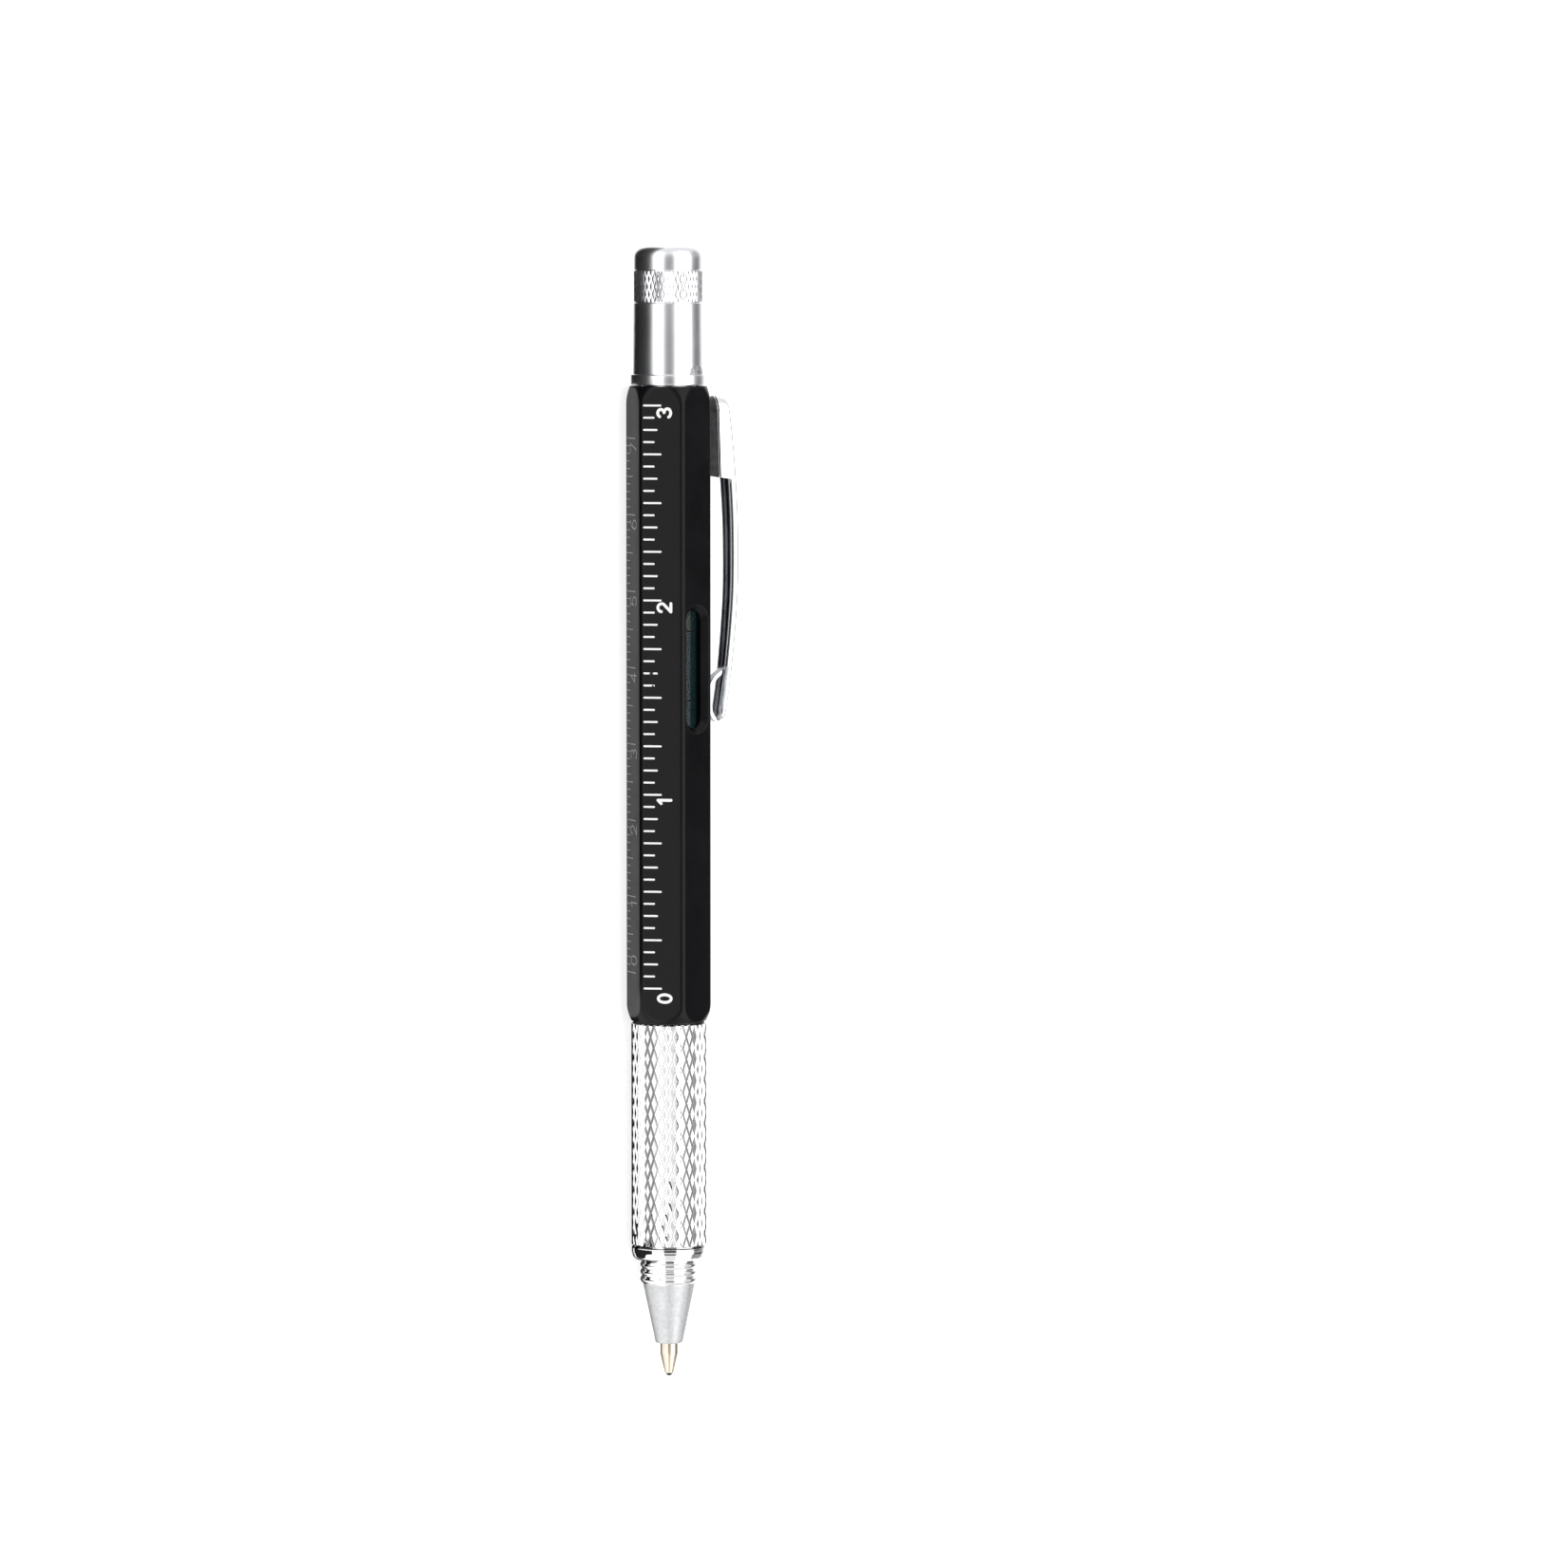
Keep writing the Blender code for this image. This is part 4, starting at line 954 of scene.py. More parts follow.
# the strokes of each numeral in a box that is 1 wide and 1 tall
numeralStrokes = {
    0: [bow(0.5, 0.5, 0.5, 0.5, 0, 360, 32)],
    1: [[(0.80, 0), (0.80, 1)], [(0.80, 1), (0.0, 0.76)]],
    2: [bow(0.5, 0.70, 0.48, 0.30, 172, -28) + [(0.0, 0.0)], [(0.0, 0.0), (1.0, 0.0)]],
    3: [bow(0.46, 0.755, 0.45, 0.245, 158, -82), bow(0.47, 0.255, 0.53, 0.255, 84, -158)],
    4: [[(0.72, 0), (0.72, 1)], [(0.72, 1), (0, 0.30)], [(0, 0.30), (1, 0.30)]],
    5: [
        [(0.92, 1), (0.14, 1)], [(0.14, 1), (0.06, 0.50)],
        [(0.06, 0.50)] + bow(0.47, 0.32, 0.52, 0.32, 128, -155),
    ],
    6: [bow(0.5, 0.31, 0.5, 0.31, 0, 360, 32), bow(0.92, 0.31, 0.92, 0.69, 180, 92)],
    7: [[(0, 1), (1, 1)], [(1, 1), (0.32, 0)]],
}


def strokeMesh(points, half, depth):
    # a stroke with round ends, or a ring
    line = [Vector(point) for point in points]
    closed = (line[0] - line[-1]).length < half * 0.1
    if closed:
        line.pop()
    count = len(line)
    shape = bmesh.new()
    levels = []
    for height in (0, depth):
        sides, caps = [], []
        for index, point in enumerate(line):
            before = line[index - 1] if index or closed else point
            after = line[(index + 1) % count] if index < count - 1 or closed else point
            along = (after - before).normalized()
            across = Vector((-along.y, along.x)) * half
            sides.append([shape.verts.new((*(point + across * side), height)) for side in (1, -1)])
        ends = ((line[0], line[1], sides[0]), (line[-1], line[-2], sides[-1][::-1]))
        for point, nextPoint, (far, near) in () if closed else ends:
            out = (point - nextPoint).normalized() * half
            first = Vector((-out.y, out.x))
            turns = [math.pi * step / 8 for step in range(1, 8)]
            arc = [point + first * math.cos(turn) + out * math.sin(turn) for turn in turns]
            caps.append([near] + [shape.verts.new((*spot, height)) for spot in arc] + [far])
        ring = sides + sides[:1] if closed else sides
        bridge(shape, ring, closed=False)
        for cap in caps:
            shape.faces.new(cap)
        levels.append([[pair[0] for pair in ring], [pair[1] for pair in ring]] + caps)
    for runs in zip(*levels):
        bridge(shape, runs, closed=False)
    return meshFrom("stroke", shape)


def numeralMesh(number, style):
    # strokes fitted to the numeral's box, its right edge and its top at 0
    half = style.stroke / 2
    wide = style.wides.get(number, scales.wide) - 2 * half
    tall = style.tall - 2 * half
    return joined("numeral", [
        strokeMesh(
            [((x - 1) * wide - half, (y - 1) * tall - half) for x, y in stroke],
            half, scales.depth + scales.rise + index * scales.step,
        )
        for index, stroke in enumerate(numeralStrokes[number])
    ])


def makeScale(face, tree):
    style = scales[face]
    ink, place = finishes[style.ink], faceMatrix(face, style.zero)
    ticks = runTree(
        face + "_ticks", tree, depth=scales.depth, rise=scales.rise, ink=ink, **style.ticks
    )
    finishPiece(face + "_ticks", ticks, None, "barrel", matrix=place, flat=True)
    digits = []
    for number in range(style.numbers):
        digits.append(numeralMesh(number, style))
        gap = style.gaps.get(number, scales.gap)
        digits[-1].transform(moveMatrix(number * style.unit - gap, style.top, -scales.depth))
    numerals = joined(face + "_numerals", digits)
    finishPiece(
        face + "_numerals", numerals, ink, "barrel", matrix=place, flat=True
    )


scaleTicks = tickTree()
makeScale("inch", scaleTicks)
makeScale("cm", scaleTicks)

# Spirit level

level = Style(
    lift=1.60 * mm, outer=2.5 * mm, inner=2.44 * mm, floor=1.2 * mm, steps=72,
    liquid=2.40 * mm, bubble=1.1 * mm, bubbleLift=0.98 * mm,
    way=1.2 * mm, wayGap=0.002 * mm, waySteps=48,  # the bubble's channel in the liquid
    rings=(23.75 * mm, 14.68 * mm), ringWidth=0.16 * mm, ringRise=0.015 * mm,
)
levelMatrix = penMatrix @ moveMatrix(level.lift)


def capsuleMesh(name, radius, bottom, top):
    profile = arcPoints(0, bottom + radius, radius, -90, 0, 12)
    profile += arcPoints(0, top - radius, radius, 0, 90, 12)
    return turnedMesh(name, profile, level.waySteps)


def makeLevel():
    inner, outer, steps = level.inner, level.outer, level.steps
    bottom, top = spans["vial_tube"]
    tube = turnedMesh("tube", filleted([
        (0, bottom + level.floor), (inner, bottom + level.floor, 0.3 * mm), (inner, top, 0.06 * mm),
        (outer, top, 0.06 * mm), (outer, bottom, 0.15 * mm), (0, bottom),
    ]), steps)
    finishPiece(
        "level_tube", tube, finishes["clear"], "barrel", ["vial_tube"], levelMatrix
    )
    bottom, top = spans["vial_liquid"]
    liquid = turnedMesh("liquid", filleted([
        (0, bottom), (level.liquid, bottom, 0.25 * mm), (level.liquid, top, 0.1 * mm), (0, top),
    ]), steps)
    way = capsuleMesh("way", level.way, bottom + level.wayGap, top - level.wayGap)
    way.transform(moveMatrix(level.bubbleLift))
    liquid = cutMesh("liquid_body", liquid, [(way, "DIFFERENCE")])
    finishPiece(
        "level_liquid", liquid, finishes["spirit"], "barrel", ["vial_liquid"],
        levelMatrix,
    )
    bubble = capsuleMesh("bubble", level.bubble, *spans["vial_bubble"])
    # the bubble's amber colour is a painted highlight
    finishPiece(
        "level_bubble", bubble, finishes["air"], "bubble", ["vial_bubble"],
        levelMatrix @ moveMatrix(level.bubbleLift),
    )
    half, high, deep = level.ringWidth / 2, outer + level.ringRise, outer - level.ringRise
    rings = joined("level_rings", [
        turnedMesh("ring", filleted([
            (high, station - half, 0.005 * mm), (high, station + half, 0.005 * mm),
            (deep, station + half), (deep, station - half),
        ], 2), steps, closed=True)
        for station in level.rings
    ])
    finishPiece("level_rings", rings, finishes["ring"], "barrel", matrix=levelMatrix)


makeLevel()

# Clip

def makeClip():
    tools = [(clipTongueMesh(), "UNION")]
    for side in (1, -1):
        middle, across = tabPlace(side)
        tall = clip.seatGap + clip.tabRise + clip.tabDepth
        size = (tall, clip.sheet * clip.tabSheet, clip.tabLength)
        place = moveMatrix(tall / 2 - clip.tabDepth, across, -middle)
        tools.append((withFinishes(boxMesh("clip_tab", size, place)), "UNION"))
    mesh = cutMesh("clip_body", clipShell(), tools)
    piece = finishPiece("clip_spring", mesh, None, None, ["clip"], clipMatrix, sharp=35)
    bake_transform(piece)


makeClip()

# Knurl, for the grip and for the cap's band

knurls = Style(
    grip=Style(starts=32, halfPitch=1.47 * mm, depth=0.15 * mm, land=0.54),
    cap=Style(starts=46, halfPitch=1.05 * mm, depth=0.065 * mm, land=0.30),
    sunk=0.04 * mm, edgeSlope=0.9,
    # painted shade: groove is the share of the colour that the grooves keep
    colour=(0.80, 0.80, 0.805), groove=0.42,  # the grooves keep this share of the colour
    # where the painted groove shade lifts, as shares of the depth below the crest, and what the grain
    # adds
    rise=(0.80, 0.05), grainShare=0.3, grain=0.3 * mm, patch=5 * mm, wander=0.15, bump=0.0012 * mm,
)


def knurlShadedFinish(name, roughness, crest, depth):
    # painted shade: darker at the bottom of the grooves, by the distance from the pen's axis
    finish, tree, shader = newFinish(name, knurls.colour, roughness, 1.0)
    along, across, up = parted(addNode(tree, "ShaderNodeTexCoord", out="Object"))
    rise = up - axisHeight
    away = addMath("SQRT", across * across + rise * rise)
    fine, broad = addNoise(tree, knurls.grain), addNoise(tree, knurls.patch)
    low, high = (crest - depth * share for share in knurls.rise)
    outOfGrooveShade = ranged(away + fine * (depth * knurls.grainShare), 0, 1, low, high)
    least, most = roughness * (1 - knurls.wander), roughness * (1 + knurls.wander)
    setSockets(shader, {
        "BaseColor": mixColour(outOfGrooveShade, scaled(knurls.colour, knurls.groove), knurls.colour),
        "Roughness": ranged(broad, least, most), "Normal": bumped(fine, knurls.bump),
    })
    return finish


def knurlTree():
    tree, given = newTree(
        "diamondKnurl", Geometry=("Geometry",), Int=("Starts", "Rows"),
        Float=("Half Pitch", "Start", "End", "Root", "Depth", "Land", "Sunk", "Edge Slope"),
        Material=("Metal",),
    )
    line = addNode(tree, "GeometryNodeMeshLine", Count=given.starts * (given.rows + 1.0))
    index = addNode(tree, "GeometryNodeInputIndex")
    row = addMath("FLOOR", (index + 0.5) / given.starts)
    column = index - row * given.starts
    turn = math.tau / given.starts
    angle = (column + addMath("MODULO", row, 2.0) * 0.5) * turn
    radius = given.root - given.sunk
    spot = addVector(
        tree, radius * addMath("COSINE", angle), radius * addMath("SINE", angle),
        given.start + row * given.halfPitch,
    )
    points = addNode(tree, "GeometryNodeSetPosition", Geometry=line, Position=spot)
    # each diamond is a cone with four sides, as wide as a cell and sunk a little into the root
    slack = (1.0 - given.land) * (given.sunk / given.depth)
    diamond = addNode(
        tree, "GeometryNodeMeshCone", Vertices=4, RadiusBottom=slack + 1.0, RadiusTop=given.land,
        Depth=given.depth + given.sunk,
    )
    size = addVector(tree, given.root * turn * 0.5, given.halfPitch, 1.0)
    crests = addNode(
        tree, "GeometryNodeInstanceOnPoints", Points=points,
        Instance=addNode(tree, "GeometryNodeTransform", Geometry=diamond, Scale=size),
        Rotation=addVector(tree, math.pi / 2, 0.0, angle + math.pi / 2),
    )
    real = addNode(tree, "GeometryNodeRealizeInstances", Geometry=crests)
    # the end rows are cut off on a slope
    x, y, z = parted(addNode(tree, "GeometryNodeInputPosition"))
    away = addNode(
        tree, "ShaderNodeVectorMath", {"operation": "LENGTH"}, "Value", Vector=addVector(tree, x, y)
    )
    slope = (given.root + given.depth - away) * given.edgeSlope
    kept = addMath("MINIMUM", addMath("MAXIMUM", z, given.start - slope), given.end + slope)
    trimmed = addNode(
        tree, "GeometryNodeSetPosition", Geometry=real, Position=addVector(tree, x, y, kept)
    )
    return closeTree(tree, (trimmed, given.geometry), given.metal)


knurl = knurlTree()


def knurledMesh(name, kind, core, start, end, root, metal):
    style = knurls[kind]
    rows = max(2, round((end - start) / style.halfPitch))
    return runTree(name, knurl, core, **{
        **style, "rows": rows, "halfPitch": (end - start) / rows, "start": start, "end": end,
        "root": root, "sunk": knurls.sunk, "edgeSlope": knurls.edgeSlope, "metal": metal,
    })


grip = Style(
    crest=4.92 * mm, bore=3.85 * mm, rounding=0.06 * mm, bevels=(0.30 * mm, 0.14 * mm),
    rise=0.25 * mm, steps=128, roughness=0.06,
)


def makeGrip():
    bottom, top = spans["grip_sleeve"]
    top += grip.rise
    depth = knurls.grip.depth
    root = grip.crest - depth
    core = turnedMesh("grip_core_wall", filleted([
        (root, top, grip.rounding), (root, bottom, grip.rounding), (grip.bore, bottom), (grip.bore, top),
    ]), grip.steps, closed=True)
    metal = knurlShadedFinish("knurled_chrome", grip.roughness, grip.crest, depth)
    mesh = knurledMesh(
        "grip_knurl", "grip", core, bottom + grip.bevels[0], top - grip.bevels[1], root, metal
    )
    finishPiece("grip_shell", mesh, None, "grip", ["grip_sleeve"], sharp=12)


makeGrip()

washer = Style(
    outer=4.66 * mm, inner=3.85 * mm, thickness=0.16 * mm, rise=0.04 * mm, rounding=0.05 * mm, steps=96,
)


def makeWasher():
    top = spans["grip_washer"][1] + washer.rise
    bottom = top - washer.thickness
    mesh = turnedMesh("washer", filleted([
        (washer.outer, top, washer.rounding), (washer.outer, bottom, washer.rounding),
        (washer.inner, bottom), (washer.inner, top),
    ]), washer.steps, closed=True)
    finishPiece("washer_ring", mesh, finishes["rubber"], "barrel", ["grip_washer"])


makeWasher()

# Nose, with its thread-like ridges

nose = Style(
    spigot=2.55 * mm, spigotLength=8.0 * mm, collar=4.90 * mm, collarLength=1.6 * mm,
    bevelLength=0.95 * mm, bevelDepth=0.52 * mm, bevelBreak=(0.35, 0.30),
    ridgeRoot=3.54 * mm, ridgeHeight=0.24 * mm, ridgePitch=0.97 * mm, ridges=3, ridgeSteps=16,
    ridgePower=0.75,
    runIn=0.27 * mm, coneTop=3.42 * mm, coneEnd=1.78 * mm, rounding=0.22 * mm,
    throat=1.295 * mm, throatLength=4.0 * mm, taper=1.0 * mm, bore=1.55 * mm, steps=144,
    flat=3.66 * mm, flatAngle=-8.0,  # parting flats across the ridges, on two sides
    coneFlat=0.982,  # and down the cone, as a share of its radius
    colour=(0.80, 0.80, 0.80), coneColour=(0.525, 0.53, 0.535), satin=0.58, polish=0.07,
)


def threadTree():
    tree, given = newTree(
        "threadRidge", Geometry=("Geometry",), Material=("Metal",),
        Float=("Turns", "Pitch", "Start", "Radius", "Ridge Height", "Ridge Width", "Crest"),
    )
    path = addNode(
        tree, "GeometryNodeCurveSpiral", Resolution=72, Rotations=given.turns, Reverse=False,
        StartRadius=given.radius, EndRadius=given.radius, Height=given.turns * given.pitch,
    )
    lifted = addNode(
        tree, "GeometryNodeTransform", Geometry=path, Translation=addVector(tree, 0.0, 0.0, given.start)
    )
    # the ridge's section: a low trapezium, sunk into the root
    section = addNode(
        tree, "GeometryNodeCurvePrimitiveQuadrilateral", {"mode": "TRAPEZOID"}, Offset=0.0,
        BottomWidth=given.ridgeWidth, TopWidth=given.crest, Height=given.ridgeHeight * 2.0,
    )
    ridge = addNode(
        tree, "GeometryNodeCurveToMesh", FillCaps=True,
        Curve=addNode(tree, "GeometryNodeSetCurveNormal", {"mode": "Z_UP"}, Curve=lifted),
        ProfileCurve=roundedCurve(tree, section, given.ridgeHeight * 0.22),
    )
    return closeTree(tree, (ridge, given.geometry), given.metal)


def noseFinish(coneTop):
    # bright collar and ridges, and a satin cone
    finish, tree, shader = newFinish("nose_plating", nose.colour, nose.satin, 1.0)
    along = parted(addNode(tree, "ShaderNodeTexCoord", out="Object"))[0]
    bright = ranged(along, 0, 1, coneTop - 0.15 * mm, coneTop + 0.05 * mm)
    fine, broad = addNoise(tree, 0.4 * mm), addNoise(tree, 3.0 * mm)
    satin = ranged(broad, nose.satin * 0.9, nose.satin * 1.1)
    polish = ranged(broad, nose.polish * 0.8, nose.polish * 1.3)
    cone = mixColour(ranged(fine, 0, 1), scaled(nose.coneColour, 0.90), scaled(nose.coneColour, 1.08))
    setSockets(shader, {
        "Roughness": satin * (1.0 - bright) + polish * bright,
        "BaseColor": mixColour(bright, cone, nose.colour), "Normal": bumped(fine, 0.0015 * mm),
    })
    return finish


def makeNose():
    noseEnd, spigotTop = spans["nose_cone"]
    collarTop = spigotTop - nose.spigotLength
    collarBottom = collarTop - nose.collarLength
    coneTop = collarBottom - nose.runIn - nose.ridges * nose.ridgePitch
    root, throatTop = nose.ridgeRoot, noseEnd + nose.throatLength
    deep, far = nose.bevelBreak
    profile = [
        (nose.spigot, spigotTop, 0.15 * mm), (nose.spigot, collarTop),
        (nose.collar, collarTop, 0.10 * mm), (nose.collar, collarBottom + nose.bevelLength, 0.45 * mm),
        (nose.collar - nose.bevelDepth * deep, collarBottom + nose.bevelLength * far, 0.35 * mm),
        (nose.collar - nose.bevelDepth, collarBottom, 0.12 * mm), (root, collarBottom, 0.05 * mm),
    ]
    for index in range(nose.ridges):
        top = collarBottom - nose.runIn - index * nose.ridgePitch
        for step in range(nose.ridgeSteps):
            share = step / nose.ridgeSteps
            rise = (0.5 - 0.5 * math.cos(math.tau * share)) ** nose.ridgePower
            profile.append((root + nose.ridgeHeight * rise, top - nose.ridgePitch * share))
    profile += [
        (nose.coneTop, coneTop, 0.10 * mm), (nose.coneEnd, noseEnd, nose.rounding * 1.2),
        (nose.throat, noseEnd, 0.08 * mm), (nose.throat, throatTop),
        (nose.bore, throatTop + nose.taper), (nose.bore, spigotTop),
    ]

    def reach(radius, height, angle):
        # both halves of the mould leave a flat across the ridges
        if height > collarBottom - 0.05 * mm or radius < nose.coneEnd * 0.98:
            return radius
        flat = radius * nose.coneFlat if height < coneTop - 0.1 * mm else nose.flat
        for side in (0, math.pi):
            off = math.cos(angle - math.radians(nose.flatAngle) - side)
            if off > 0.5:
                return min(radius, flat / off)
        return radius

    mesh = turnedMesh("nose", filleted(profile, 4), nose.steps, closed=True, reach=reach)
    finishPiece("nose_shell", mesh, noseFinish(coneTop), "grip", ["nose_cone"], sharp=40)


makeNose()

# Refill's tip and ball

tip = Style(
    body=1.175 * mm, shank=0.575 * mm, coneEnd=0.56 * mm, seat=0.49 * mm, shankLength=3.0 * mm,
    bodyLength=4.0 * mm, bodyCut=0.1 * mm, ball=0.46 * mm, inkBore=0.20 * mm, steps=72,
)


def makeTip():
    end, top = spans["refill_tip"]
    headTop = top - tip.shankLength
    shoulder = headTop - tip.bodyLength + tip.bodyCut
    ballCentre = spans["writing_ball"][0] + tip.ball
    profile = filleted([
        (tip.shank, top, 0.05 * mm), (tip.shank, headTop), (tip.body, headTop, 0.06 * mm),
        (tip.body, shoulder, 0.5 * mm), (tip.coneEnd, end, 0.05 * mm), (tip.seat, end),
    ], 4)
    profile += arcPoints(0, ballCentre, tip.seat, 0, 60, 6)
    profile += [(tip.inkBore, ballCentre + tip.seat), (tip.inkBore, top)]
    mesh = turnedMesh("tip", profile, tip.steps, closed=True)
    finishPiece("tip_body", mesh, finishes["nickel"], "refill", ["refill_tip"])
    ball = turnedMesh("ball", arcPoints(0, ballCentre, tip.ball, -90, 90, 24), 48)
    finishPiece("tip_ball", ball, finishes["ball"], "refill", ["writing_ball"])


makeTip()

# Cap

cap = Style(
    flange=4.92 * mm, flangeBevel=0.18 * mm, flangeHeight=1.36 * mm,
    base=4.65 * mm, top=4.52 * mm, shoulderRise=0.04 * mm,
    cylinder=9.39 * mm, band=4.2 * mm, groove=0.10 * mm,
    corner=1.75 * mm, crownRise=0.22 * mm, bore=3.85 * mm, chamber=2.76 * mm,
    roof=3.0 * mm, threadEnd=63.02 * mm, steps=144, crownSteps=12,
    gateTurn=4.4, gateRadius=1.16 * mm, gateWide=1.3, gateFace=4.70 * mm,
    gateOut=1 * mm, gateIn=0.6 * mm, gateUnder=0.5 * mm, gateSteps=64,
)


def makeGate(flangeTop):
    # a low half disc that stands on the flange and follows the cylinder
    radius, face = cap.gateRadius, cap.gateFace
    disc = turnedMesh("gate", [
        (0, face + cap.gateOut), (radius, face + cap.gateOut),
        (radius, face - cap.gateIn), (0, face - cap.gateIn),
    ], cap.gateSteps)
    disc.transform(
        moveMatrix(0, 0, flangeTop) @ turnMatrix(cap.gateTurn) @ turnMatrix(90, "Y")
        @ Matrix.Diagonal((1, cap.gateWide, 1, 1))
    )
    bottom, top = flangeTop - cap.gateUnder, flangeTop + 2 * radius
    skin = turnedMesh("gate_skin", [(0, bottom), (face, bottom), (face, top), (0, top)], cap.steps)
    gate = cutMesh("gate_body", disc, [(skin, "INTERSECT")])
    finishPiece("cap_gate", gate, finishes["gate"], "cap")


def makeCap():
    bottom, top = spans["cap"]
    flangeTop = bottom + cap.flangeHeight
    bandBottom = flangeTop + cap.cylinder
    bandTop = bandBottom + cap.band
    grooveBottom, grooveTop = bandBottom - cap.groove, bandTop + cap.groove
    root = cap.top - knurls.cap.depth
    crown = arcPoints(cap.top - cap.corner, top - cap.crownRise - cap.corner, cap.corner, 90, 0, 16)
    profile = []
    for step in range(cap.crownSteps):  # the crown's low rise
        share = step / cap.crownSteps
        profile.append((crown[0][0] * share, top - cap.crownRise * share ** 2))
    profile += crown
    profile += filleted([
        (cap.top, grooveTop + 0.3 * mm), (cap.top, grooveTop, 0.05 * mm), (root, bandTop, 0.04 * mm),
        (root, bandBottom, 0.04 * mm), (cap.top + cap.shoulderRise, grooveBottom, 0.06 * mm),
        (cap.base, flangeTop, 0.12 * mm),
        (cap.flange, flangeTop, cap.flangeBevel), (cap.flange, bottom, cap.flangeBevel),
        (cap.bore, bottom, 0.15 * mm), (cap.bore, cap.threadEnd),
    ])
    profile += [(cap.chamber, cap.threadEnd), (cap.chamber, top - cap.roof), (0, top - cap.roof)]
    core = turnedMesh("cap_core", profile, cap.steps)
    makeGate(flangeTop)
    mesh = knurledMesh(
        "cap_knurl", "cap", core, bandBottom + cap.groove, bandTop - cap.groove, root, finishes["satin"]
    )
    finishPiece("cap_shell", mesh, None, "cap", ["cap"], sharp=12)


makeCap()

# Bit socket and screwdriver bit, under the cap

socket = Style(
    radius=3.55 * mm, chamfer=0.4 * mm, steps=96,
    pocket=20.0 * mm, pocketRounding=0.12 * mm, gap=0.20 * mm,
    # stations past the barrel's end: the neck's start, its foot and the thread's start
    neckStart=0.6 * mm, neckFoot=0.4 * mm, threadStart=1.2 * mm,
    threadPitch=0.75 * mm, threadTurns=6.0, threadHeight=0.10 * mm, threadWidth=0.6 * mm,
    threadCrest=0.12 * mm,
)
bit = Style(
    corner=2.0 * mm / math.cos(math.radians(30)), rounding=0.22 * mm, turned=1.85 * mm,
    turnedLength=5.5 * mm, point=0.45 * mm, pointLength=2.6 * mm,
    fluteRoot=0.40 * mm, fluteSide=3.0 * mm, fluteLength=9.0 * mm, fluteLean=9,
    blade=0.75 * mm, bladeLean=7, bladeCut=6.0 * mm, bladeLength=6.5 * mm,
)


def makeSocket(tree):
    bottom, top = spans["bit_socket"]
    radius, neck = socket.radius, socket.radius - socket.threadHeight
    body = turnedMesh("socket", filleted([
        (0, top), (neck - socket.chamfer, top, 0.05 * mm), (neck, top - socket.chamfer, 0.08 * mm),
        (neck, barrelEnd + socket.neckStart), (radius, barrelEnd + socket.neckFoot, 0.05 * mm),
        (radius, bottom, 0.1 * mm), (0, bottom),
    ]), socket.steps)
    reach = bit.corner + socket.gap / math.cos(math.radians(30))
    pocket = hexPrism("pocket", reach, socket.pocketRounding, 4, top - socket.pocket, top + 1 * mm)
    body = cutMesh("socket_body", body, [(pocket, "DIFFERENCE")])
    mesh = runTree(
        "socket_thread", tree, body, turns=socket.threadTurns, pitch=socket.threadPitch,
        start=barrelEnd + socket.threadStart, radius=neck, ridgeHeight=socket.threadHeight * 2,
        ridgeWidth=socket.threadWidth, crest=socket.threadCrest, metal=finishes["satin"],
    )
    finishPiece("socket_body", mesh, None, "barrel", ["bit_socket"], sharp=30)


def makeBit():
    bottom, top = spans["screwdriver_bit"]
    bar = hexPrism("bit_bar", bit.corner, bit.rounding, 6, bottom - 1 * mm, top + 1 * mm)
    reach = bit.corner + 0.03 * mm
    shoulder = reach - bit.turned
    upper, lower = top - bit.turnedLength, bottom + bit.turnedLength
    turning = turnedMesh("bit_turning", filleted([
        (0, top), (bit.point, top, 0.10 * mm), (bit.turned, top - bit.pointLength, 0.2 * mm),
        (bit.turned, upper), (reach, upper - shoulder),
        (reach, lower + shoulder), (bit.turned, lower), (bit.turned, bottom), (0, bottom),
    ]), 72)
    tools = [(turning, "INTERSECT")]
    fluteSize = (bit.fluteSide, bit.fluteSide, bit.fluteLength)
    out = bit.fluteRoot + bit.fluteSide / math.sqrt(2)
    for degrees in (45, 135, 225, 315):
        angle = math.radians(degrees)
        place = moveMatrix(out * math.cos(angle), out * math.sin(angle), top) @ turnMatrix(degrees)
        place = place @ turnMatrix(-bit.fluteLean, "Y") @ turnMatrix(45)
        tools.append((boxMesh("flute", fluteSize, place), "DIFFERENCE"))
    bladeSize = (bit.bladeCut, bit.bladeCut, bit.bladeLength)
    for side in (1, -1):
        place = moveMatrix(side * (bit.blade + bit.bladeCut) / 2, 0, bottom)
        place = place @ turnMatrix(side * bit.bladeLean, "Y")
        tools.append((boxMesh("blade", bladeSize, place), "DIFFERENCE"))
    mesh = cutMesh("bit_body", bar, tools)
    finishPiece(
        "bit_body", mesh, finishes["steel"], "barrel", ["screwdriver_bit"], sharp=28
    )


makeSocket(threadTree())
makeBit()

# The solids that stay, inside the pen

innerFinishes = {
    "grip_core": "brass", "rotor": "whitePlastic", "cam_sleeve": "whitePlastic",
    "plunger": "whitePlastic", "drive_pin": "steel", "refill_tube": "brass", "ink_column": "ink",
    "vial_plug": "blackPlastic", "vial_cradle": "blackPlastic",
}
for node, finish in innerFinishes.items():
    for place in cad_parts[node].material_slots:
        place.material = finishes[finish]
print("inner pieces", len(innerFinishes))

# Floor, lights and camera

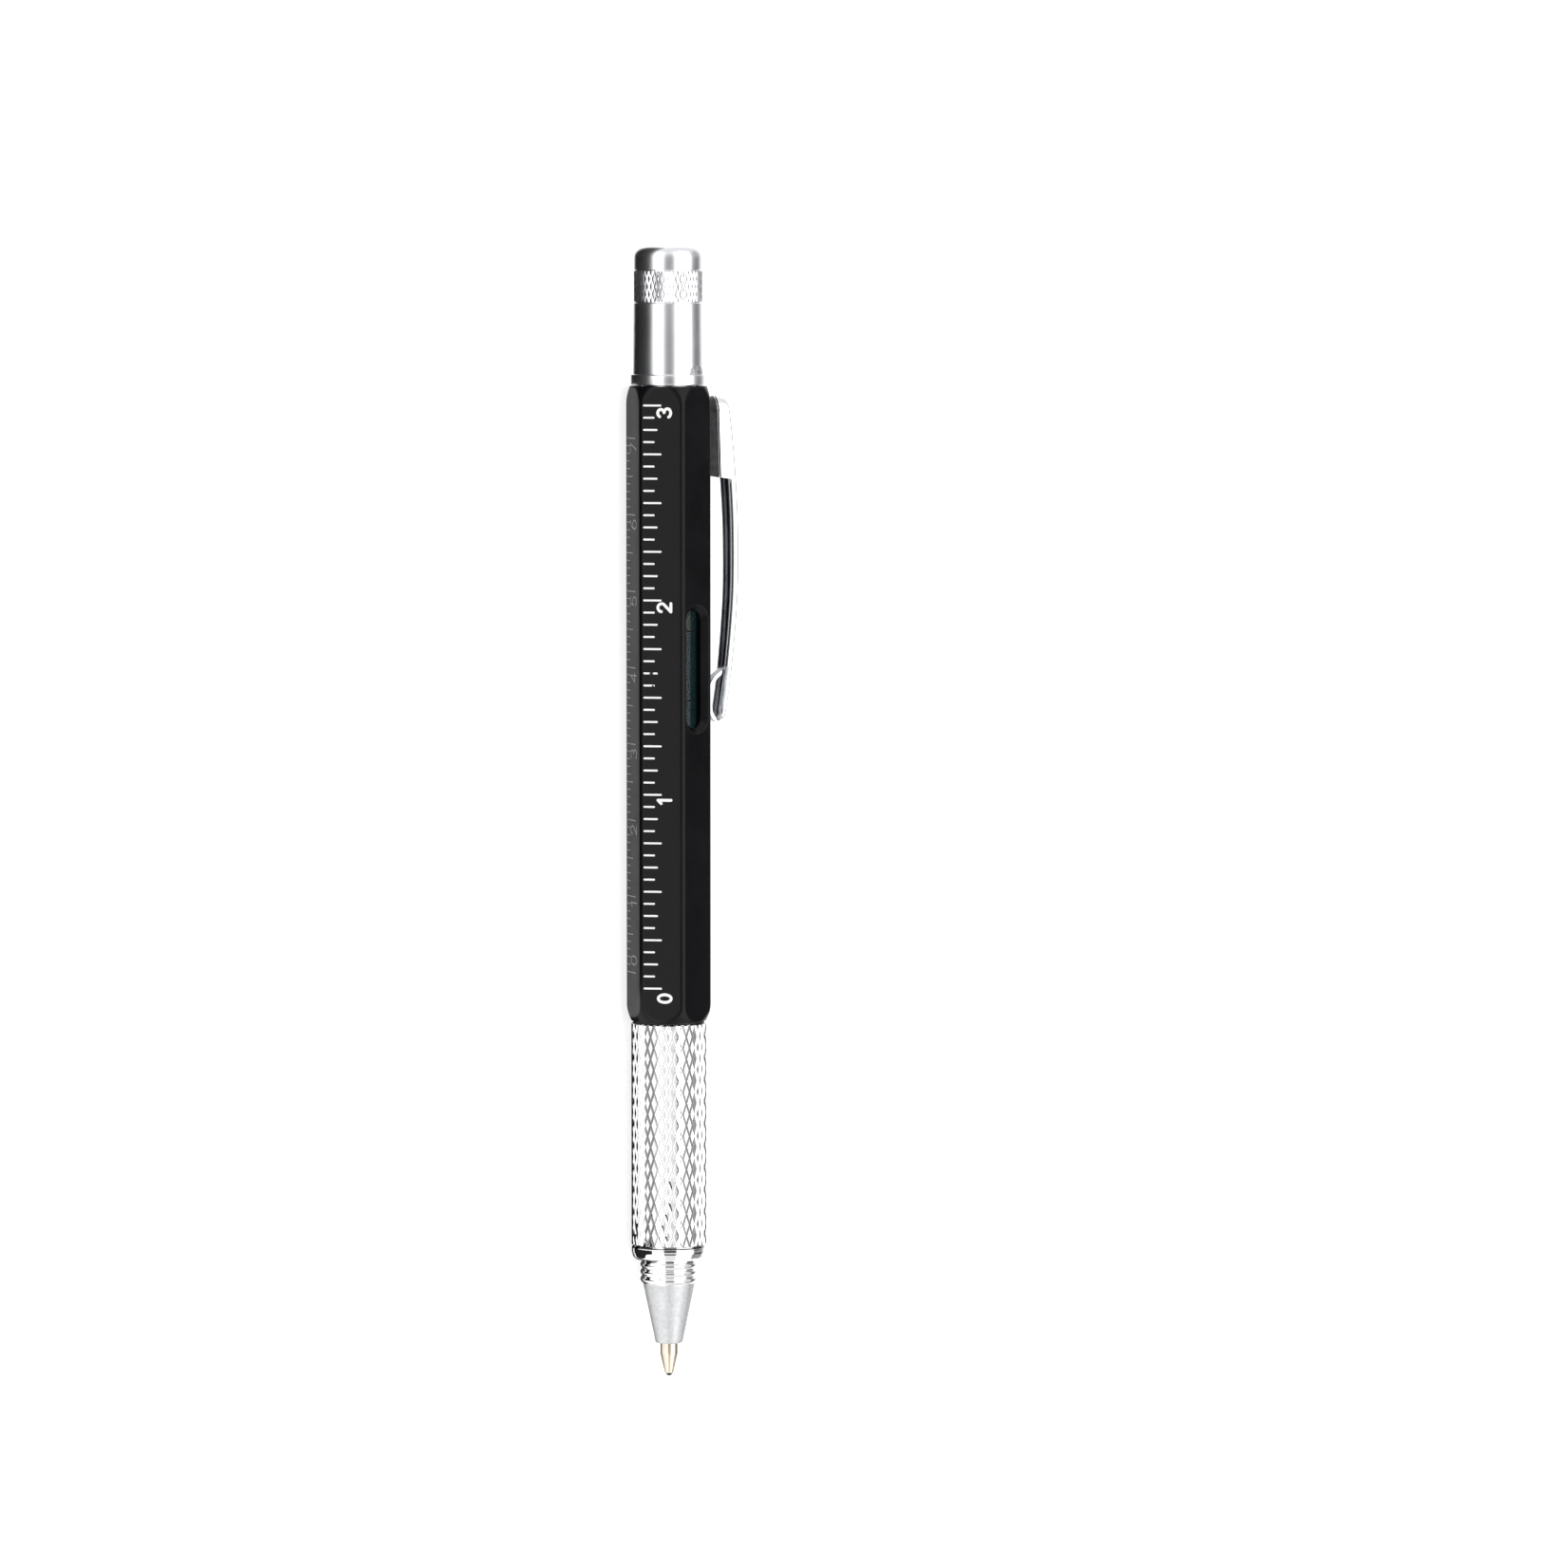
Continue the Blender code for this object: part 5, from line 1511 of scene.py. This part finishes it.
stage = Style(
    floor=6.0, floorColour=(0.80, 0.80, 0.80), floorGlow=0.73,
    worldFill=0.30, worldSeen=1.0,
    # centre (y, z), width across, tilt from straight down toward +y, radiance
    panels={
        "overheadPanel": Style(y=-0.027, z=0.62, width=0.633, tilt=0, level=1.8),
        "sidePanel": Style(y=0.62, z=0.14, width=0.28, tilt=90, level=2.0),
    },
    panelLength=1.5,
    # dark cards that only reflections see: mm along the pen, degrees from straight up toward +y, level
    cards={
        "camera_card": (-110, 84, 27, 72, 0.02),
        "barrel_card": (-118, 34, 70, 90, 0.02),
        "cap_side": (84, 115, 27, 70, 0.22),
        "far_cap_side": (115, 650, 27, 70, 0.90),
        "collar_card": (-200, -167, 27, 70, 0.02),
        "nose_side": (-420, -200, 27, 70, 0.22),
        "far_nose_side": (-650, -420, 27, 70, 0.90),
        "back_card": (-110, 115, -76, -34, 0.16),
        "far_back": (115, 650, -76, -34, 0.65),
        "grip_back": (-165, -110, -76, -34, 0.60),
        "nose_back": (-420, -165, -76, -34, 0.14),
        "far_nose_back": (-650, -420, -76, -34, 0.65),
    },
    cardRadius=0.9, cardSteps=12,
    # dark strips on the floor beside the pen, painted shadow that only reflections see: mm along and
    # across the pen, level
    strips={
        "barrel_strip": (-24, 55.7, 5, 44, 0.02),
        "cap_strip": (55.7, 130, 3, 28, 0.02),
        "collar_strip": (-62.3, -57.4, 4, 30, 0.02),
        "grip_strip": (-57.4, -27.2, -5.0, 5.8, 0.03),
        "under_strip": (-76, -57.4, -4, 3.5, 0.20),
    },
    stripHeight=0.02 * mm,
)


def seenShare(tree):
    # 1 for what the camera, metal and glass see, 0 for the light that falls on the object
    camera, metal, glass = (
        addNode(tree, "ShaderNodeLightPath", out=f"Is {kind} Ray")
        for kind in ("Camera", "Glossy", "Transmission")
    )
    return addMath("MINIMUM", camera + (metal + glass), 1.0)


def makeFloor():
    shape = bmesh.new()
    bmesh.ops.create_grid(shape, x_segments=2, y_segments=2, size=stage.floor / 2)
    floor = linkObject("studio_floor", meshFrom("studio_floor", shape))
    finish, tree, shader = newFinish("floor_paper", stage.floorColour, 0.9, SpecularIORLevel=0.1)
    glow = addNode(tree, "ShaderNodeEmission", Strength=seenShare(tree) * stage.floorGlow)
    both = tree.nodes.new("ShaderNodeAddShader")
    plug(Wire(shader.outputs[0]), both.inputs[0])
    plug(glow, both.inputs[1])
    plug(Wire(both.outputs[0]), tree.nodes["Material Output"].inputs["Surface"])
    floor.data.materials.append(finish)


def addCard(name, rows, level):
    shape = bmesh.new()
    bridge(shape, [[shape.verts.new(point) for point in row] for row in rows], closed=False)
    card = linkObject(name, meshFrom(name, shape))
    paper = newFinish(name + "_paper", (level, level, level), 1.0, SpecularIORLevel=0.0)[0]
    card.data.materials.append(paper)
    for ray in ("camera", "diffuse", "shadow", "transmission", "volume_scatter"):
        setattr(card, "visible_" + ray, False)


def makeCards():
    for name, (left, right, near, far, level) in stage.strips.items():
        addCard(name, [
            [(x * mm, y * mm, stage.stripHeight) for x in (left, right)] for y in (near, far)
        ], level)
    radius = stage.cardRadius
    for name, (left, right, first, last, level) in stage.cards.items():
        start, end = math.radians(first), math.radians(last)
        steps = stage.cardSteps
        turns = [start + (end - start) * step / steps for step in range(steps + 1)]
        addCard(name, [
            [(x * mm, radius * math.sin(turn), radius * math.cos(turn)) for x in (left, right)]
            for turn in turns
        ], level)


def makeLights():
    for name, panel in stage.panels.items():
        lamp = bpy.data.lights.new(name, "AREA")
        lamp.shape = "RECTANGLE"
        lamp.size, lamp.size_y = stage.panelLength, panel.width
        lamp.energy = panel.level * math.pi * lamp.size * lamp.size_y
        place = moveMatrix(0, panel.y, panel.z) @ turnMatrix(-panel.tilt, "X")
        linkObject(name, lamp).matrix_world = place
    world = bpy.data.worlds.new("studio")
    bpy.context.scene.world = world
    world.use_nodes = True
    tree = world.node_tree
    strength = ranged(seenShare(tree), stage.worldFill, stage.worldSeen, 0.0, 1.0)
    setSockets(tree.nodes["Background"], {"Color": (1, 1, 1, 1), "Strength": strength})


# turn and tilt from straight above, picture width at the pen, point aimed at along and beside the pen
view = Style(
    turn=50.5, tilt=4, distance=1.2, field=205.5 * mm, aim=3.57 * mm, aside=15.12 * mm, sensor=36,
)


def makeCamera():
    turn, tilt = math.radians(view.turn), math.radians(view.tilt)
    toCamera = Vector((
        math.sin(tilt), math.cos(tilt) * math.sin(turn), math.cos(tilt) * math.cos(turn)
    ))
    right = Vector((0, -math.cos(turn), math.sin(turn)))
    matrix = Matrix((right, toCamera.cross(right), toCamera)).transposed().to_4x4()
    aim = Vector((view.aim, 0, axisHeight))
    matrix.translation = aim + right * view.aside + toCamera * view.distance
    lens = bpy.data.cameras.new("studio_camera")
    lens.sensor_width = view.sensor
    lens.lens = view.sensor * view.distance / view.field
    lens.clip_start = 0.01
    camera = linkObject("studio_camera", lens)
    camera.matrix_world = matrix
    bpy.context.scene.camera = camera


makeFloor()
makeCards()
makeLights()
makeCamera()
bpy.context.scene.view_settings.view_transform = "Standard"
print("stage ready")
